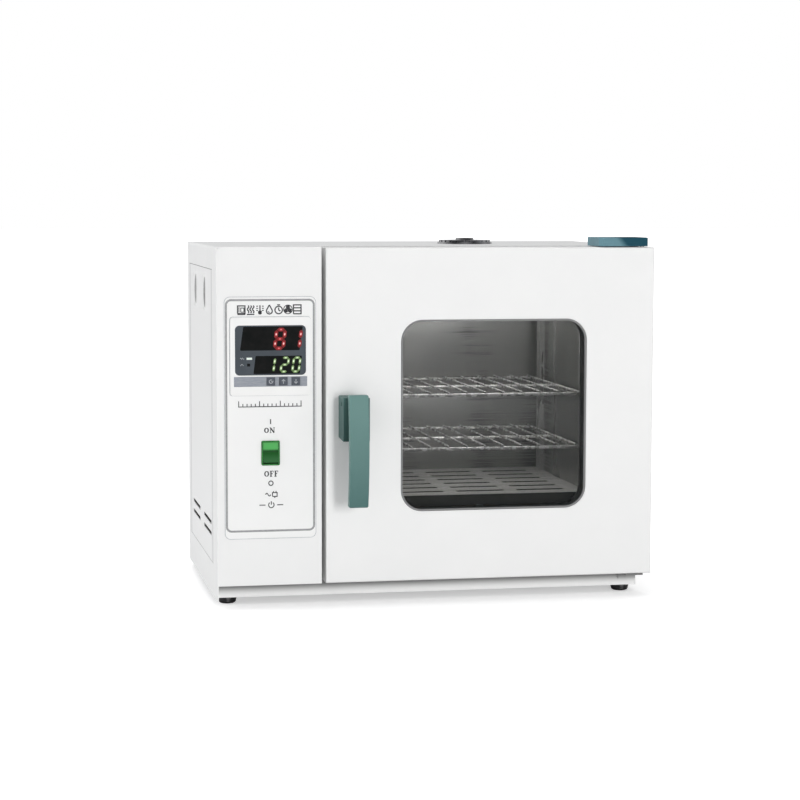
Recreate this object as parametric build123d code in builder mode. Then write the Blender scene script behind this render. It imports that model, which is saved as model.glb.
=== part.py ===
from build123d import *
import math
import os

os.makedirs("parts", exist_ok=True)

# A bench drying oven. Millimetres: +X is the viewer's right, the door faces -Y and +Z is up.
# The origin lies on the bench, under the middle of the whole oven, handle included.

# Casing
WIDTH = 510.0
HEIGHT = 410.0
BODY_DEPTH = 325.0
HANDLE_REACH = 55.0
SHEET = 1.2
BEND_RADIUS = 3.0
FOOT_HEIGHT = 8.0
DOOR_RISE = 19.0
TOP_LIP = 1.0
DOOR_OVERHANG = 8.0
CONTROL_WIDTH = 119.2
DOOR_GAP = 4.8
DOOR_THICKNESS = 30.0
GASKET_GAP = 4.0
REAR_FITTINGS = 4.0
FLANGE = 14.0
FRAME_LAP = 14.0
FASCIA_EDGE_RADIUS = 1.0
PAN_RISE = 12.0
HOLE_CLEARANCE = 0.3
REAR_SLOTS = 6
REAR_SLOT_LENGTH = 56.0
REAR_SLOT_PITCH = 10.0
REAR_SLOT_DROP = 70.0

# Chamber
LINER = 1.0
RIGHT_WALL = 57.0
REAR_WALL = 41.0
FLOOR_WALL = 80.0
CEILING_WALL = 72.0
LEFT_BATT = 68.0
DIVIDER_INSET = 5.6
BATT_CLEARANCE = 1.0

# Access panel in the left side
PANEL_FRONT_MARGIN = 45.0
PANEL_REAR_MARGIN = 24.0
PANEL_TOP_MARGIN = 26.0
PANEL_BOTTOM_MARGIN = 38.0
PANEL_GAP = 0.8
PANEL_LAP = 6.0
LOUVRE_LENGTH = 44.0
LOUVRE_WIDTH = 9.0
LOUVRE_HEIGHT = 2.4
LOUVRE_DROP = 29.0
LOUVRE_SHARES = (0.3, 0.7)
SLOT_LENGTH = 80.0
SLOT_HEIGHT = 4.6
SLOT_PITCH = 13.0
SLOT_RISE = 32.0
SLOT_SHARES = (0.228, 0.714)

# Door, window and gasket
WINDOW_SIDE_INSET = 15.5
WINDOW_TOP_INSET = 11.0
WINDOW_BOTTOM_INSET = 19.0
WINDOW_RADIUS = 25.0
SEAL_WIDTH = 2.5
SEAL_PROUD = 0.3
SEAL_FLANGE = 8.0
SEAL_THICKNESS = 1.2
GLASS = 4.0
GLASS_LAP = 7.0
SPACER_WALL = 1.0
GASKET_WIDTH = 12.0
GASKET_OFFSET = 6.0
GASKET_CLEARANCE = 0.3
DOOR_EDGE_RADIUS = 2.0
DOOR_BATT_INSET = 10.0

# Hinge
HINGE_SIDE_INSET = 14.0
HINGE_FRONT_INSET = 5.0
HINGE_PIN_RADIUS = 2.5
RUNNING_CLEARANCE = 0.05
BUSH_WALL = 1.1
BUSH_LENGTH = 12.0
BRACKET_THICKNESS = 2.5
LOWER_BRACKET_WIDTH = 16.0
LOWER_BRACKET_GAP = 0.3
LOWER_BRACKET_THICKNESS = 2.0
LOWER_BRACKET_DROP = 11.0
CAP_WIDTH = 57.4
CAP_DEPTH = 52.0
CAP_HEIGHT = 10.0
CAP_WALL = 1.6
CAP_CHAMFER = 4.0
CAP_EDGE_RADIUS = 1.0
CAP_PAST_PIN = 5.5
PIN_REACH = 10.0
PIN_HEAD_RADIUS = 3.2
PIN_HEAD_HEIGHT = 1.5
HINGE_SCREW_BACK = 9.0
HINGE_SCREW_INSET = 12.0
HINGE_SCREW_PITCH = 22.0

# Handle and latch
HANDLE_INSET = 29.5
BLOCK_WIDTH = 30.0
BLOCK_HEIGHT = 47.5
BLOCK_DEPTH = 33.0
BLOCK_TOP = 242.0
BLOCK_SLOPE = 2.0
BLOCK_EDGE_RADIUS = 1.2
LEVER_WIDTH = 22.0
LEVER_LENGTH = 126.5
LEVER_THICKNESS = 11.0
LEVER_ARCH = 7.0
LEVER_ABOVE_BLOCK = 4.0
LEVER_EDGE_RADIUS = 1.8
PIVOT_BELOW_TOP = 8.0
PIVOT_OUT = 21.0
HANDLE_PIN_RADIUS = 2.5
EAR_THICKNESS = 3.0
EAR_RADIUS = 5.5
EAR_CLEARANCE = 0.6
EAR_ROOT = 2.0
EAR_DROP = 3.0
HOOK_THICKNESS = 5.0
HOOK_HEIGHT = 8.0
HOOK_GAP = 0.3
HOOK_BELOW_PIVOT = 1.0
HOOK_SIDE_CLEARANCE = 2.5
NIB_RISE = 4.0
NIB_LENGTH = 5.0
NIB_CLEARANCE = 0.6
NIB_BEHIND_FRAME = 0.8
STRIKE_DEPTH = 14.0
STRIKE_MARGIN = 4.0
LATCH_TRAVEL = 10.0
LATCH_CAVITY = 16.0
PIN_RECESS = 1.0
HANDLE_SCREW_SPREAD = 9.0
HANDLE_SCREW_RISE = 9.0
HANDLE_SCREW_DEPTH = 12.0

# Vent
VENT_BORE = 20.0
VENT_WALL = 1.5
COLLAR_RADIUS = 33.0
COLLAR_THICKNESS = 2.2
HUB_RADIUS = 9.0
PORT_RADIUS = 4.0
SHUTTER_RADIUS = 31.0
SHUTTER_THICKNESS = 2.3
NUT_RADIUS = 10.8
NUT_THICKNESS = 2.4
VENT_HOLES = 6
VENT_HOLE_RADIUS = 3.5
VENT_HOLE_CIRCLE = 14.6
SHUTTER_GRIPS = 24
GRIP_RADIUS = 1.5

# Control label, controller, keys and switch
LABEL_WIDTH = 103.0
LABEL_THICKNESS = 0.5
LABEL_RADIUS = 6.0
LABEL_INSET = 9.0
LABEL_TOP_MARGIN = 56.0
LABEL_BOTTOM_MARGIN = 54.0
CONTROLLER_WIDTH = 91.0
CONTROLLER_HEIGHT = 88.2
CONTROLLER_DROP = 66.5
BEZEL_PROUD = 3.0
BEZEL_RADIUS = 3.0
HOUSING_MARGIN = 3.6
HOUSING_DEPTH = 72.0
HOUSING_WALL = 1.8
HOUSING_FIT = 0.4
DISPLAY_WIDTH = 80.4
DISPLAY_HEIGHT = 56.2
DISPLAY_RISE = 6.8
DISPLAY_RADIUS = 5.0
WINDOW_RECESS = 0.3
WINDOW_FIT = 0.1
STRIP_WIDTH = 83.0
STRIP_HEIGHT = 11.3
STRIP_DROP = 28.4
STRIP_RECESS = 0.1
STRIP_THICKNESS = 1.8
KEY_WIDTH = 9.0
KEY_HEIGHT = 8.5
KEY_PITCH = 14.2
KEY_OFFSET = 14.4
KEY_GAP = 0.4
KEY_TRAVEL = 1.0
KEY_PROUD = 0.9
KEY_RADIUS = 1.0
KEY_SEAT = 0.2
KEY_FLANGE = 1.0
KEY_LAP = 1.0
TACT_HEIGHT = 1.8
TACT_WIDTH = 6.0
BOARD = 1.6
SWITCH_WIDTH = 21.0
SWITCH_HEIGHT = 28.2
SWITCH_DROP = 109.5
SWITCH_RIM = 1.8
SWITCH_PROUD = 1.5
SWITCH_DEPTH = 24.0
SWITCH_SHOULDER = 1.0
ROCKER_TILT = 8.0
ROCKER_PIVOT_DEPTH = 3.0
ROCKER_TIP = 5.2
ROCKER_WAIST = 4.0
ROCKER_BACK = 2.0
ROCKER_WELL = 10.0
ROCKER_GAP = 0.3
ROCKER_END_GAP = 1.0
ROCKER_PIN_RADIUS = 1.2
ROCKER_STUB = 0.6

# Chamber fittings
SHELF_LEVELS = (85.0, 148.0)
SHELF_ROD = 2.0
SHELF_WIRE = 1.25
SHELF_PITCH = 22.0
SHELF_FRONT_GAP = 9.0
SHELF_BACK_GAP = 6.0
SHELF_SIDE_GAP = 2.0
SHELF_SEAT_GAP = 0.3
WELD_SINK = 0.4
RACK_DEPTH = 6.0
RACK_WIDTH = 15.0
RACK_LEDGE = 6.0
RACK_SHEET = 1.5
RACK_FRONT = 26.0
RACK_REAR = 28.0
RACK_HOLES = 8
RACK_HOLE_WIDTH = 5.0
RACK_HOLE_HEIGHT = 9.0
BAFFLE_RISE = 32.0
BAFFLE_LIP = 12.0
BAFFLE_GAP = 1.0
BAFFLE_SETBACK = 4.0
BAFFLE_SLOT_WIDTH = 9.0
BAFFLE_COLUMNS = 3
BAFFLE_ROWS = 6
BAFFLE_WEB = 16.0
BAFFLE_SIDE_MARGIN = 15.5
BAFFLE_END_MARGIN = 17.0
HEATER_RADIUS = 4.0
HEATER_RISE = 15.0
HEATER_BEND = 20.0
HEATER_OFFSET = 62.0
HEATER_END_GAP = 45.0
HEATER_CORNER = 0.5
HEATER_TAIL = 16.0
CLIP_LENGTH = 8.0
CLIP_WALL = 2.0
BUSHING_NECK = 6.5
BUSHING_RADIUS = 9.5
BUSHING_FLANGE = 4.0
BUSHING_TAIL = 20.0
PROBE_RADIUS = 2.5
PROBE_DROP = 11.0
PROBE_REACH = 15.0
PROBE_TAIL = 22.0
PROBE_NUT = 6.0
PROBE_NUT_RADIUS = 6.0
PROBE_BEHIND_MIDDLE = 70.0

# Feet and fasteners
FOOT_RADIUS = 11.0
FOOT_INSET = 16.0
FOOT_FRONT = 47.0
FOOT_REAR = 14.0
FOOT_TAPER = 1.8
FOOT_RECESS = 4.4
FOOT_SCREW_RADIUS = 2.0
FOOT_NUT_RADIUS = 4.0
NUT_HEIGHT = 3.0
SCREW_RADIUS = 1.6
SCREW_HEAD = 3.4
SCREW_HEAD_HEIGHT = 2.0
SCREW_POINT = 4.0

# Electrics
GLAND_RADIUS = 10.0
GLAND_BORE = 4.5
GLAND_NECK = 6.5
GLAND_NUT = 4.0
GLAND_INSIDE = 12.0
GLAND_RISE = 52.0
REAR_FITTING_X = 60.0
SINK_HEIGHT = 26.0
SINK_WIDTH = 70.0
SINK_LENGTH = 90.0
SINK_PLATE = 5.0
SINK_FIN = 2.0
SINK_FINS = 8
SINK_FRONT = 80.0
RELAY_WIDTH = 45.0
RELAY_LENGTH = 58.0
RELAY_HEIGHT = 23.0
TERMINAL_WIDTH = 60.0
TERMINAL_LENGTH = 24.0
TERMINAL_HEIGHT = 18.0
TERMINAL_REAR = 74.0
TERMINAL_WAYS = 4
TERMINAL_PITCH = 14.0
TERMINAL_HOLE = 2.6
TERMINAL_HOLE_DEPTH = 8.0
MAINS_LEAD_RADIUS = 3.2
WIRE_RADIUS = 1.4
LEAD_SHARE = 0.45
LEAD_RUN = 22.0

# Planes and edges that the pieces share
left = -WIDTH / 2
right = WIDTH / 2
rear = (BODY_DEPTH + HANDLE_REACH) / 2
front = rear - BODY_DEPTH
shell_bottom = FOOT_HEIGHT
case_right = right - DOOR_OVERHANG
fascia_right = left + CONTROL_WIDTH
door_left = fascia_right + DOOR_GAP
door_bottom = shell_bottom + DOOR_RISE
door_top = HEIGHT - TOP_LIP
door_back = front + DOOR_THICKNESS
frame_front = door_back + GASKET_GAP
frame_back = frame_front + SHEET
panel_back = rear - REAR_FITTINGS
panel_front = panel_back - SHEET
flange_front = panel_front - SHEET
top_under = HEIGHT - SHEET
floor_top = shell_bottom + SHEET
inner_left = left + SHEET
inner_right = case_right - SHEET
divider_left = fascia_right + DIVIDER_INSET
divider_right = divider_left + SHEET
chamber_left = divider_right + LEFT_BATT + LINER
chamber_right = case_right - RIGHT_WALL
chamber_floor = shell_bottom + FLOOR_WALL
chamber_top = HEIGHT - CEILING_WALL
chamber_end = rear - REAR_WALL
chamber_width = chamber_right - chamber_left
chamber_height = chamber_top - chamber_floor
chamber_depth = chamber_end - frame_front
window_width = chamber_width - 2 * WINDOW_SIDE_INSET
window_height = chamber_height - WINDOW_TOP_INSET - WINDOW_BOTTOM_INSET
window_z = chamber_top - WINDOW_TOP_INSET - window_height / 2
chamber_x = (chamber_left + chamber_right) / 2
chamber_y = (frame_front + chamber_end) / 2
chamber_z = (chamber_floor + chamber_top) / 2
skin_back = front + SHEET
liner_front = door_back - SHEET
hinge_x = right - HINGE_SIDE_INSET
hinge_y = front + HINGE_FRONT_INSET
handle_x = door_left + HANDLE_INSET
pivot_y = front - PIVOT_OUT
pivot_z = BLOCK_TOP - PIVOT_BELOW_TOP
cap_right = hinge_x + CAP_PAST_PIN
cap_left = cap_right - CAP_WIDTH
bracket_top = HEIGHT + BRACKET_THICKNESS
lower_top = door_bottom - LOWER_BRACKET_GAP
hinge_screw_y = frame_front + HINGE_SCREW_BACK
hinge_screw_first = cap_left + HINGE_SCREW_INSET
hinge_screw_places = [(hinge_screw_first + step * HINGE_SCREW_PITCH, hinge_screw_y) for step in (0, 1)]
hook_top = pivot_z - HOOK_BELOW_PIVOT
hook_bottom = hook_top - HOOK_HEIGHT
nib_top = hook_top + NIB_RISE
hook_tip = frame_back + NIB_BEHIND_FRAME + NIB_LENGTH
latch_drop = (hook_tip - pivot_y) * math.sin(math.radians(LATCH_TRAVEL))
latch_half = HOOK_THICKNESS / 2 + HOOK_SIDE_CLEARANCE
latch_slot_x = (handle_x - latch_half, handle_x + latch_half)
latch_slot_z = (hook_bottom - latch_drop - NIB_CLEARANCE, nib_top + NIB_CLEARANCE)
strike_x = (latch_slot_x[0] - STRIKE_MARGIN, latch_slot_x[1] + STRIKE_MARGIN)
strike_z = (latch_slot_z[0] - STRIKE_MARGIN, latch_slot_z[1] + STRIKE_MARGIN)
strike_end = frame_back + STRIKE_DEPTH
heater_z = chamber_floor + HEATER_RISE
heater_far = chamber_right - HEATER_END_GAP
heater_middles = (chamber_y - HEATER_OFFSET, chamber_y + HEATER_OFFSET)
heater_ends = [(middle + side * HEATER_BEND, heater_z) for middle in heater_middles for side in (-1, 1)]
probe_y = chamber_y + PROBE_BEHIND_MIDDLE
probe_z = chamber_top - PROBE_DROP
gland_z = shell_bottom + GLAND_RISE
fitting_x = left + REAR_FITTING_X
compartment_x = (inner_left + divider_left) / 2
label_x = left + LABEL_INSET + LABEL_WIDTH / 2
label_top = HEIGHT - LABEL_TOP_MARGIN
label_height = label_top - door_bottom - LABEL_BOTTOM_MARGIN
label_z = label_top - label_height / 2
label_front = front - LABEL_THICKNESS
controller_z = label_top - CONTROLLER_DROP
bezel_front = label_front - BEZEL_PROUD
display_z = controller_z + DISPLAY_RISE
strip_z = controller_z - STRIP_DROP
switch_z = controller_z - SWITCH_DROP
housing_width = CONTROLLER_WIDTH - 2 * HOUSING_MARGIN
housing_height = CONTROLLER_HEIGHT - 2 * HOUSING_MARGIN
board_width = housing_width - HOUSING_FIT - 2 * HOUSING_WALL
board_height = housing_height - HOUSING_FIT - 2 * HOUSING_WALL
switch_body_width = SWITCH_WIDTH - 2 * SWITCH_SHOULDER
switch_body_height = SWITCH_HEIGHT - 2 * SWITCH_SHOULDER
key_places = [label_x + KEY_OFFSET + step * KEY_PITCH for step in (-1, 0, 1)]
feet = [
    (x, y)
    for x in (left + FOOT_INSET, case_right - FOOT_INSET)
    for y in (front + FOOT_FRONT, panel_back - FOOT_REAR)
]


def block(x, y, z, mode=Mode.ADD):
    """Add a box that runs between the two values given on each axis."""
    with Locations(((x[0] + x[1]) / 2, (y[0] + y[1]) / 2, (z[0] + z[1]) / 2)):
        Box(x[1] - x[0], y[1] - y[0], z[1] - z[0], mode=mode)


def rod(x, y, z, radius, mode=Mode.ADD):
    """Add a round bar along the one axis that is given as a pair of ends."""
    ends = [axis for axis in (x, y, z) if isinstance(axis, tuple)][0]
    middle = [sum(axis) / 2 if isinstance(axis, tuple) else axis for axis in (x, y, z)]
    turn = (0, 90, 0) if isinstance(x, tuple) else (90, 0, 0) if isinstance(y, tuple) else (0, 0, 0)
    with Locations(tuple(middle)):
        Cylinder(radius, ends[1] - ends[0], rotation=turn, mode=mode)


def upright_plate(x, z, y, width, height, radius, mode=Mode.ADD):
    """Add a plate with round corners that faces the front, from y[0] back to y[1]."""
    with BuildSketch(Plane(origin=(x, y[0], z), x_dir=(1, 0, 0), z_dir=(0, -1, 0))) as outline:
        RectangleRounded(width, height, radius)
    extrude(outline.sketch, amount=y[0] - y[1], mode=mode)


def upright_ring(x, z, y, width, height, radius, band):
    """Add a ring of the given band around a round-cornered opening that faces the front."""
    with BuildSketch(Plane(origin=(x, y[0], z), x_dir=(1, 0, 0), z_dir=(0, -1, 0))) as outline:
        RectangleRounded(width + 2 * band, height + 2 * band, radius + band)
        RectangleRounded(width, height, radius, mode=Mode.SUBTRACT)
    extrude(outline.sketch, amount=y[0] - y[1])


def lead(points, radius):
    """Add a round lead whose arcs take 0.45 of the shorter run at each corner."""
    arcs = []
    for before, corner, after in zip(points, points[1:], points[2:]):
        back = Vector(*before) - Vector(*corner)
        ahead = Vector(*after) - Vector(*corner)
        half_turn = math.radians(180 - back.get_angle(ahead)) / 2
        arcs.append(LEAD_SHARE * min(back.length, ahead.length) / math.tan(half_turn))
    with BuildLine() as route:
        FilletPolyline(*points, radius=arcs)
    with BuildSketch(Plane(origin=points[0], z_dir=Vector(*points[1]) - Vector(*points[0]))) as section:
        Circle(radius)
    sweep(section.sketch, path=route.wire())


# Cabinet shell

panel_y = (front + PANEL_FRONT_MARGIN, panel_back - PANEL_REAR_MARGIN)
panel_z = (shell_bottom + PANEL_BOTTOM_MARGIN, HEIGHT - PANEL_TOP_MARGIN)
rear_screw_x = (inner_left + FLANGE / 2, chamber_x, inner_right - FLANGE / 2)
rear_screw_z = (shell_bottom + FLANGE, (shell_bottom + HEIGHT) / 2, top_under - FLANGE / 2)
rear_screws = [(x, z) for x in rear_screw_x for z in rear_screw_z if x != chamber_x or z == rear_screw_z[2]]

with BuildPart() as cabinet_wrap:
    with BuildSketch(Plane.XZ.offset(-frame_front)):
        with BuildLine():
            FilletPolyline(
                (left, shell_bottom),
                (left, HEIGHT),
                (case_right, HEIGHT),
                (case_right, shell_bottom),
                radius=BEND_RADIUS,
            )
            offset(amount=SHEET, side=Side.RIGHT)
        make_face()
    extrude(amount=frame_front - panel_front)
    with BuildSketch(Plane.XZ.offset(-frame_front)):
        with BuildLine():
            FilletPolyline(
                (left, shell_bottom),
                (left, HEIGHT),
                (fascia_right, HEIGHT),
                radius=BEND_RADIUS,
            )
            offset(amount=SHEET, side=Side.RIGHT)
        make_face()
    extrude(amount=frame_front - front)
    block((inner_left, inner_left + FLANGE), (flange_front, panel_front), (shell_bottom, top_under))
    block((inner_right - FLANGE, inner_right), (flange_front, panel_front), (shell_bottom, top_under))
    block((inner_left, inner_right), (flange_front, panel_front), (top_under - FLANGE, top_under))
    block((left, inner_left), panel_y, panel_z, Mode.SUBTRACT)
    rod(chamber_x, chamber_y, (top_under, HEIGHT), VENT_BORE, Mode.SUBTRACT)
    for x, z in rear_screws:
        rod(x, (flange_front, panel_front), z, SCREW_RADIUS, Mode.SUBTRACT)
    for x, y in hinge_screw_places:
        rod(x, y, (top_under, HEIGHT), SCREW_RADIUS, Mode.SUBTRACT)

louvre_z = panel_z[1] - LOUVRE_DROP
panel_length = panel_y[1] - panel_y[0]

with BuildPart() as access_panel:
    block(
        (left, inner_left),
        (panel_y[0] + PANEL_GAP, panel_y[1] - PANEL_GAP),
        (panel_z[0] + PANEL_GAP, panel_z[1] - PANEL_GAP),
    )
    block(
        (inner_left, inner_left + SHEET),
        (panel_y[0] - PANEL_LAP, panel_y[1] + PANEL_LAP),
        (panel_z[0] - PANEL_LAP, panel_z[1] + PANEL_LAP),
    )
    block(
        (inner_left, inner_left + SHEET),
        (panel_y[0] + PANEL_LAP, panel_y[1] - PANEL_LAP),
        (panel_z[0] + PANEL_LAP, panel_z[1] - PANEL_LAP),
        Mode.SUBTRACT,
    )
    for share in LOUVRE_SHARES:
        louvre_y = panel_y[0] + share * panel_length
        with BuildSketch(Plane(origin=(left, louvre_y, louvre_z), x_dir=(0, 1, 0), z_dir=(-1, 0, 0))):
            Ellipse(LOUVRE_WIDTH / 2, LOUVRE_LENGTH / 2)
        extrude(amount=LOUVRE_HEIGHT, taper=35)
        with BuildSketch(Plane(origin=(inner_left, louvre_y, louvre_z), x_dir=(0, 1, 0), z_dir=(-1, 0, 0))):
            Ellipse(LOUVRE_WIDTH / 2 - SHEET, LOUVRE_LENGTH / 2 - SHEET)
        extrude(amount=LOUVRE_HEIGHT, taper=35, mode=Mode.SUBTRACT)
    for share in SLOT_SHARES:
        slot_y = panel_y[0] + share * panel_length
        for row in range(2):
            with Locations((left, slot_y, panel_z[0] + SLOT_RISE + row * SLOT_PITCH)):
                Box(4 * SHEET, SLOT_LENGTH, SLOT_HEIGHT, mode=Mode.SUBTRACT)

with BuildPart() as rear_panel:
    block((left, case_right), (panel_front, panel_back), (shell_bottom, HEIGHT))
    rod(fitting_x, (panel_front, panel_back), gland_z, GLAND_NECK, Mode.SUBTRACT)
    for x, z in rear_screws:
        rod(x, (panel_front, panel_back), z, SCREW_RADIUS, Mode.SUBTRACT)
    for row in range(REAR_SLOTS):
        with Locations((fitting_x, panel_back, HEIGHT - REAR_SLOT_DROP - row * REAR_SLOT_PITCH)):
            Box(REAR_SLOT_LENGTH, 4 * SHEET, SLOT_HEIGHT, mode=Mode.SUBTRACT)

with BuildPart() as casing_screws:
    for x, z in rear_screws:
        rod(x, (panel_back, panel_back + SCREW_HEAD_HEIGHT), z, SCREW_HEAD)
        rod(x, (flange_front - SCREW_POINT, panel_back), z, SCREW_RADIUS)
    for x, y in hinge_screw_places:
        rod(x, y, (bracket_top, bracket_top + SCREW_HEAD_HEIGHT), SCREW_HEAD)
        rod(x, y, (top_under - SCREW_POINT, bracket_top), SCREW_RADIUS)

with BuildPart() as base_pan:
    block((inner_left, inner_right), (frame_back, flange_front), (shell_bottom, shell_bottom + PAN_RISE))
    block(
        (inner_left + SHEET, inner_right - SHEET),
        (frame_back + SHEET, flange_front - SHEET),
        (floor_top, shell_bottom + PAN_RISE),
        Mode.SUBTRACT,
    )
    for x, y in feet:
        rod(x, y, (shell_bottom, floor_top), FOOT_SCREW_RADIUS, Mode.SUBTRACT)

with BuildPart() as front_frame:
    block((fascia_right - FRAME_LAP, inner_right), (frame_front, frame_back), (shell_bottom, top_under))
    fillet(front_frame.edges().filter_by(Axis.Y).group_by(Axis.Z)[-1].sort_by(Axis.X)[-1], BEND_RADIUS)
    block(
        (inner_left, fascia_right - FRAME_LAP),
        (frame_front, frame_back),
        (shell_bottom, door_bottom + 2 * SHEET),
    )
    block(
        (chamber_left, chamber_right),
        (frame_front, frame_back),
        (chamber_floor, chamber_top),
        Mode.SUBTRACT,
    )
    block(latch_slot_x, (frame_front, frame_back), latch_slot_z, Mode.SUBTRACT)

with BuildPart() as compartment_divider:
    block((divider_left, divider_right), (frame_back + SHEET, flange_front - SHEET), (floor_top, top_under))
    for y, z in heater_ends:
        rod((divider_left, divider_right), y, z, BUSHING_NECK + HOLE_CLEARANCE, Mode.SUBTRACT)
    rod((divider_left, divider_right), probe_y, probe_z, PROBE_RADIUS + HOLE_CLEARANCE, Mode.SUBTRACT)

with BuildPart() as control_fascia:
    block((inner_left, fascia_right), (front, skin_back), (door_bottom, top_under))
    fillet(
        control_fascia.edges().filter_by(Axis.Z).group_by(Axis.X)[-1].sort_by(Axis.Y)[0],
        FASCIA_EDGE_RADIUS,
    )
    fillet(control_fascia.edges().filter_by(Axis.Y).group_by(Axis.Z)[-1].sort_by(Axis.X)[0], BEND_RADIUS)
    block((fascia_right - SHEET, fascia_right), (skin_back, frame_front), (door_bottom, top_under))
    block(
        (inner_left, inner_left + SHEET),
        (skin_back, skin_back + FLANGE),
        (door_bottom, top_under - FLANGE),
    )
    block((inner_left, fascia_right), (skin_back, frame_front), (door_bottom, door_bottom + SHEET))
    with Locations((label_x, front, controller_z)):
        Box(housing_width, 4 * SHEET, housing_height, mode=Mode.SUBTRACT)
    with Locations((label_x, front, switch_z)):
        Box(switch_body_width, 4 * SHEET, switch_body_height, mode=Mode.SUBTRACT)

# Chamber and what lies around it

shelf_left = chamber_left + RACK_DEPTH + SHELF_SIDE_GAP
shelf_right = chamber_right - RACK_DEPTH - SHELF_SIDE_GAP
shelf_front = frame_front + SHELF_FRONT_GAP
shelf_back = chamber_end - SHELF_BACK_GAP
baffle_top = chamber_floor + BAFFLE_RISE
post_middles = (frame_front + RACK_FRONT, chamber_end - RACK_REAR)
baffle_column = (chamber_width - 2 * BAFFLE_SIDE_MARGIN) / BAFFLE_COLUMNS
baffle_row = (chamber_depth - 2 * BAFFLE_END_MARGIN) / BAFFLE_ROWS

with BuildPart() as chamber_sleeve:
    block(
        (chamber_left - LINER, chamber_right + LINER),
        (frame_back, chamber_end),
        (chamber_floor - LINER, chamber_top + LINER),
    )
    block(
        (chamber_left - LINER - FLANGE, chamber_right + LINER + FLANGE),
        (frame_back, frame_back + LINER),
        (chamber_floor - LINER - FLANGE, chamber_top + LINER + FLANGE),
    )
    block(
        (chamber_left, chamber_right),
        (frame_back, chamber_end),
        (chamber_floor, chamber_top),
        Mode.SUBTRACT,
    )
    rod(chamber_x, chamber_y, (chamber_top, chamber_top + LINER), VENT_BORE, Mode.SUBTRACT)
    for y, z in heater_ends:
        rod((chamber_left - LINER, chamber_left), y, z, HEATER_RADIUS + HOLE_CLEARANCE, Mode.SUBTRACT)
    rod(
        (chamber_left - LINER, chamber_left),
        probe_y,
        probe_z,
        PROBE_RADIUS + HOLE_CLEARANCE,
        Mode.SUBTRACT,
    )

with BuildPart() as chamber_back:
    block(
        (chamber_left - LINER, chamber_right + LINER),
        (chamber_end, chamber_end + LINER),
        (chamber_floor - LINER, chamber_top + LINER),
    )

racks = {}
for name, wall, inward in (("rack_left", chamber_left, 1), ("rack_right", chamber_right, -1)):
    with BuildPart() as racks[name]:
        for middle in post_middles:
            post_z = (baffle_top + chamber_top) / 2
            with Locations((wall + inward * RACK_DEPTH / 2, middle, post_z)):
                Box(RACK_DEPTH, RACK_WIDTH, chamber_top - baffle_top)
            with Locations((wall + inward * (RACK_DEPTH - RACK_SHEET) / 2, middle, post_z)):
                Box(
                    RACK_DEPTH - RACK_SHEET,
                    RACK_WIDTH - 2 * RACK_SHEET,
                    chamber_top - baffle_top,
                    mode=Mode.SUBTRACT,
                )
            for step in range(RACK_HOLES):
                height = baffle_top + (step + 1) * (chamber_top - baffle_top) / (RACK_HOLES + 1)
                with Locations((wall + inward * RACK_DEPTH, middle, height)):
                    Box(4 * RACK_SHEET, RACK_HOLE_WIDTH, RACK_HOLE_HEIGHT, mode=Mode.SUBTRACT)
        for level in SHELF_LEVELS:
            seat = chamber_floor + level - SHELF_ROD - SHELF_SEAT_GAP
            ledge = sorted((wall + inward * RACK_DEPTH, wall + inward * (RACK_DEPTH + RACK_LEDGE)))
            block(
                ledge,
                (post_middles[0] - RACK_WIDTH / 2, post_middles[1] + RACK_WIDTH / 2),
                (seat - RACK_SHEET, seat),
            )

with BuildPart() as heat_baffle:
    block(
        (chamber_left + BAFFLE_GAP, chamber_right - BAFFLE_GAP),
        (frame_front + BAFFLE_SETBACK, chamber_end - BAFFLE_GAP),
        (chamber_floor, baffle_top),
    )
    block(
        (chamber_left + BAFFLE_GAP + SHEET, chamber_right - BAFFLE_GAP - SHEET),
        (frame_front + BAFFLE_SETBACK + SHEET, chamber_end - BAFFLE_GAP),
        (chamber_floor, baffle_top - SHEET),
        Mode.SUBTRACT,
    )
    block(
        (chamber_left + BAFFLE_GAP + SHEET, chamber_right - BAFFLE_GAP - SHEET),
        (frame_front + BAFFLE_SETBACK, frame_front + BAFFLE_SETBACK + SHEET),
        (chamber_floor, baffle_top - BAFFLE_LIP),
        Mode.SUBTRACT,
    )
    for y, z in heater_ends:
        with Locations((chamber_left, y, (chamber_floor + z + HEATER_RADIUS) / 2)):
            Box(
                4 * (BAFFLE_GAP + SHEET),
                4 * HEATER_RADIUS,
                z + HEATER_RADIUS - chamber_floor + HEATER_RADIUS,
                mode=Mode.SUBTRACT,
            )
    with Locations((chamber_x, chamber_y, baffle_top)):
        with GridLocations(baffle_column, baffle_row, BAFFLE_COLUMNS, BAFFLE_ROWS):
            Box(baffle_column - BAFFLE_WEB, BAFFLE_SLOT_WIDTH, 4 * SHEET, mode=Mode.SUBTRACT)

with BuildPart() as heater_tubes:
    for middle in heater_middles:
        with BuildLine() as route:
            FilletPolyline(
                (divider_left - HEATER_TAIL, middle - HEATER_BEND, heater_z),
                (heater_far, middle - HEATER_BEND, heater_z),
                (heater_far, middle + HEATER_BEND, heater_z),
                (divider_left - HEATER_TAIL, middle + HEATER_BEND, heater_z),
                radius=HEATER_BEND - HEATER_CORNER,
            )
        with BuildSketch(
            Plane(origin=(divider_left - HEATER_TAIL, middle - HEATER_BEND, heater_z), z_dir=(1, 0, 0))
        ):
            Circle(HEATER_RADIUS)
        sweep(path=route.line)

with BuildPart() as heater_clips:
    for y, z in heater_ends:
        with Locations((chamber_x, y, (chamber_floor + z) / 2)):
            Box(CLIP_LENGTH, 2 * HEATER_RADIUS + 2 * CLIP_WALL, z - chamber_floor)
        rod(
            (chamber_x - CLIP_LENGTH / 2, chamber_x + CLIP_LENGTH / 2),
            y,
            z,
            HEATER_RADIUS + HOLE_CLEARANCE,
            Mode.SUBTRACT,
        )

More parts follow.
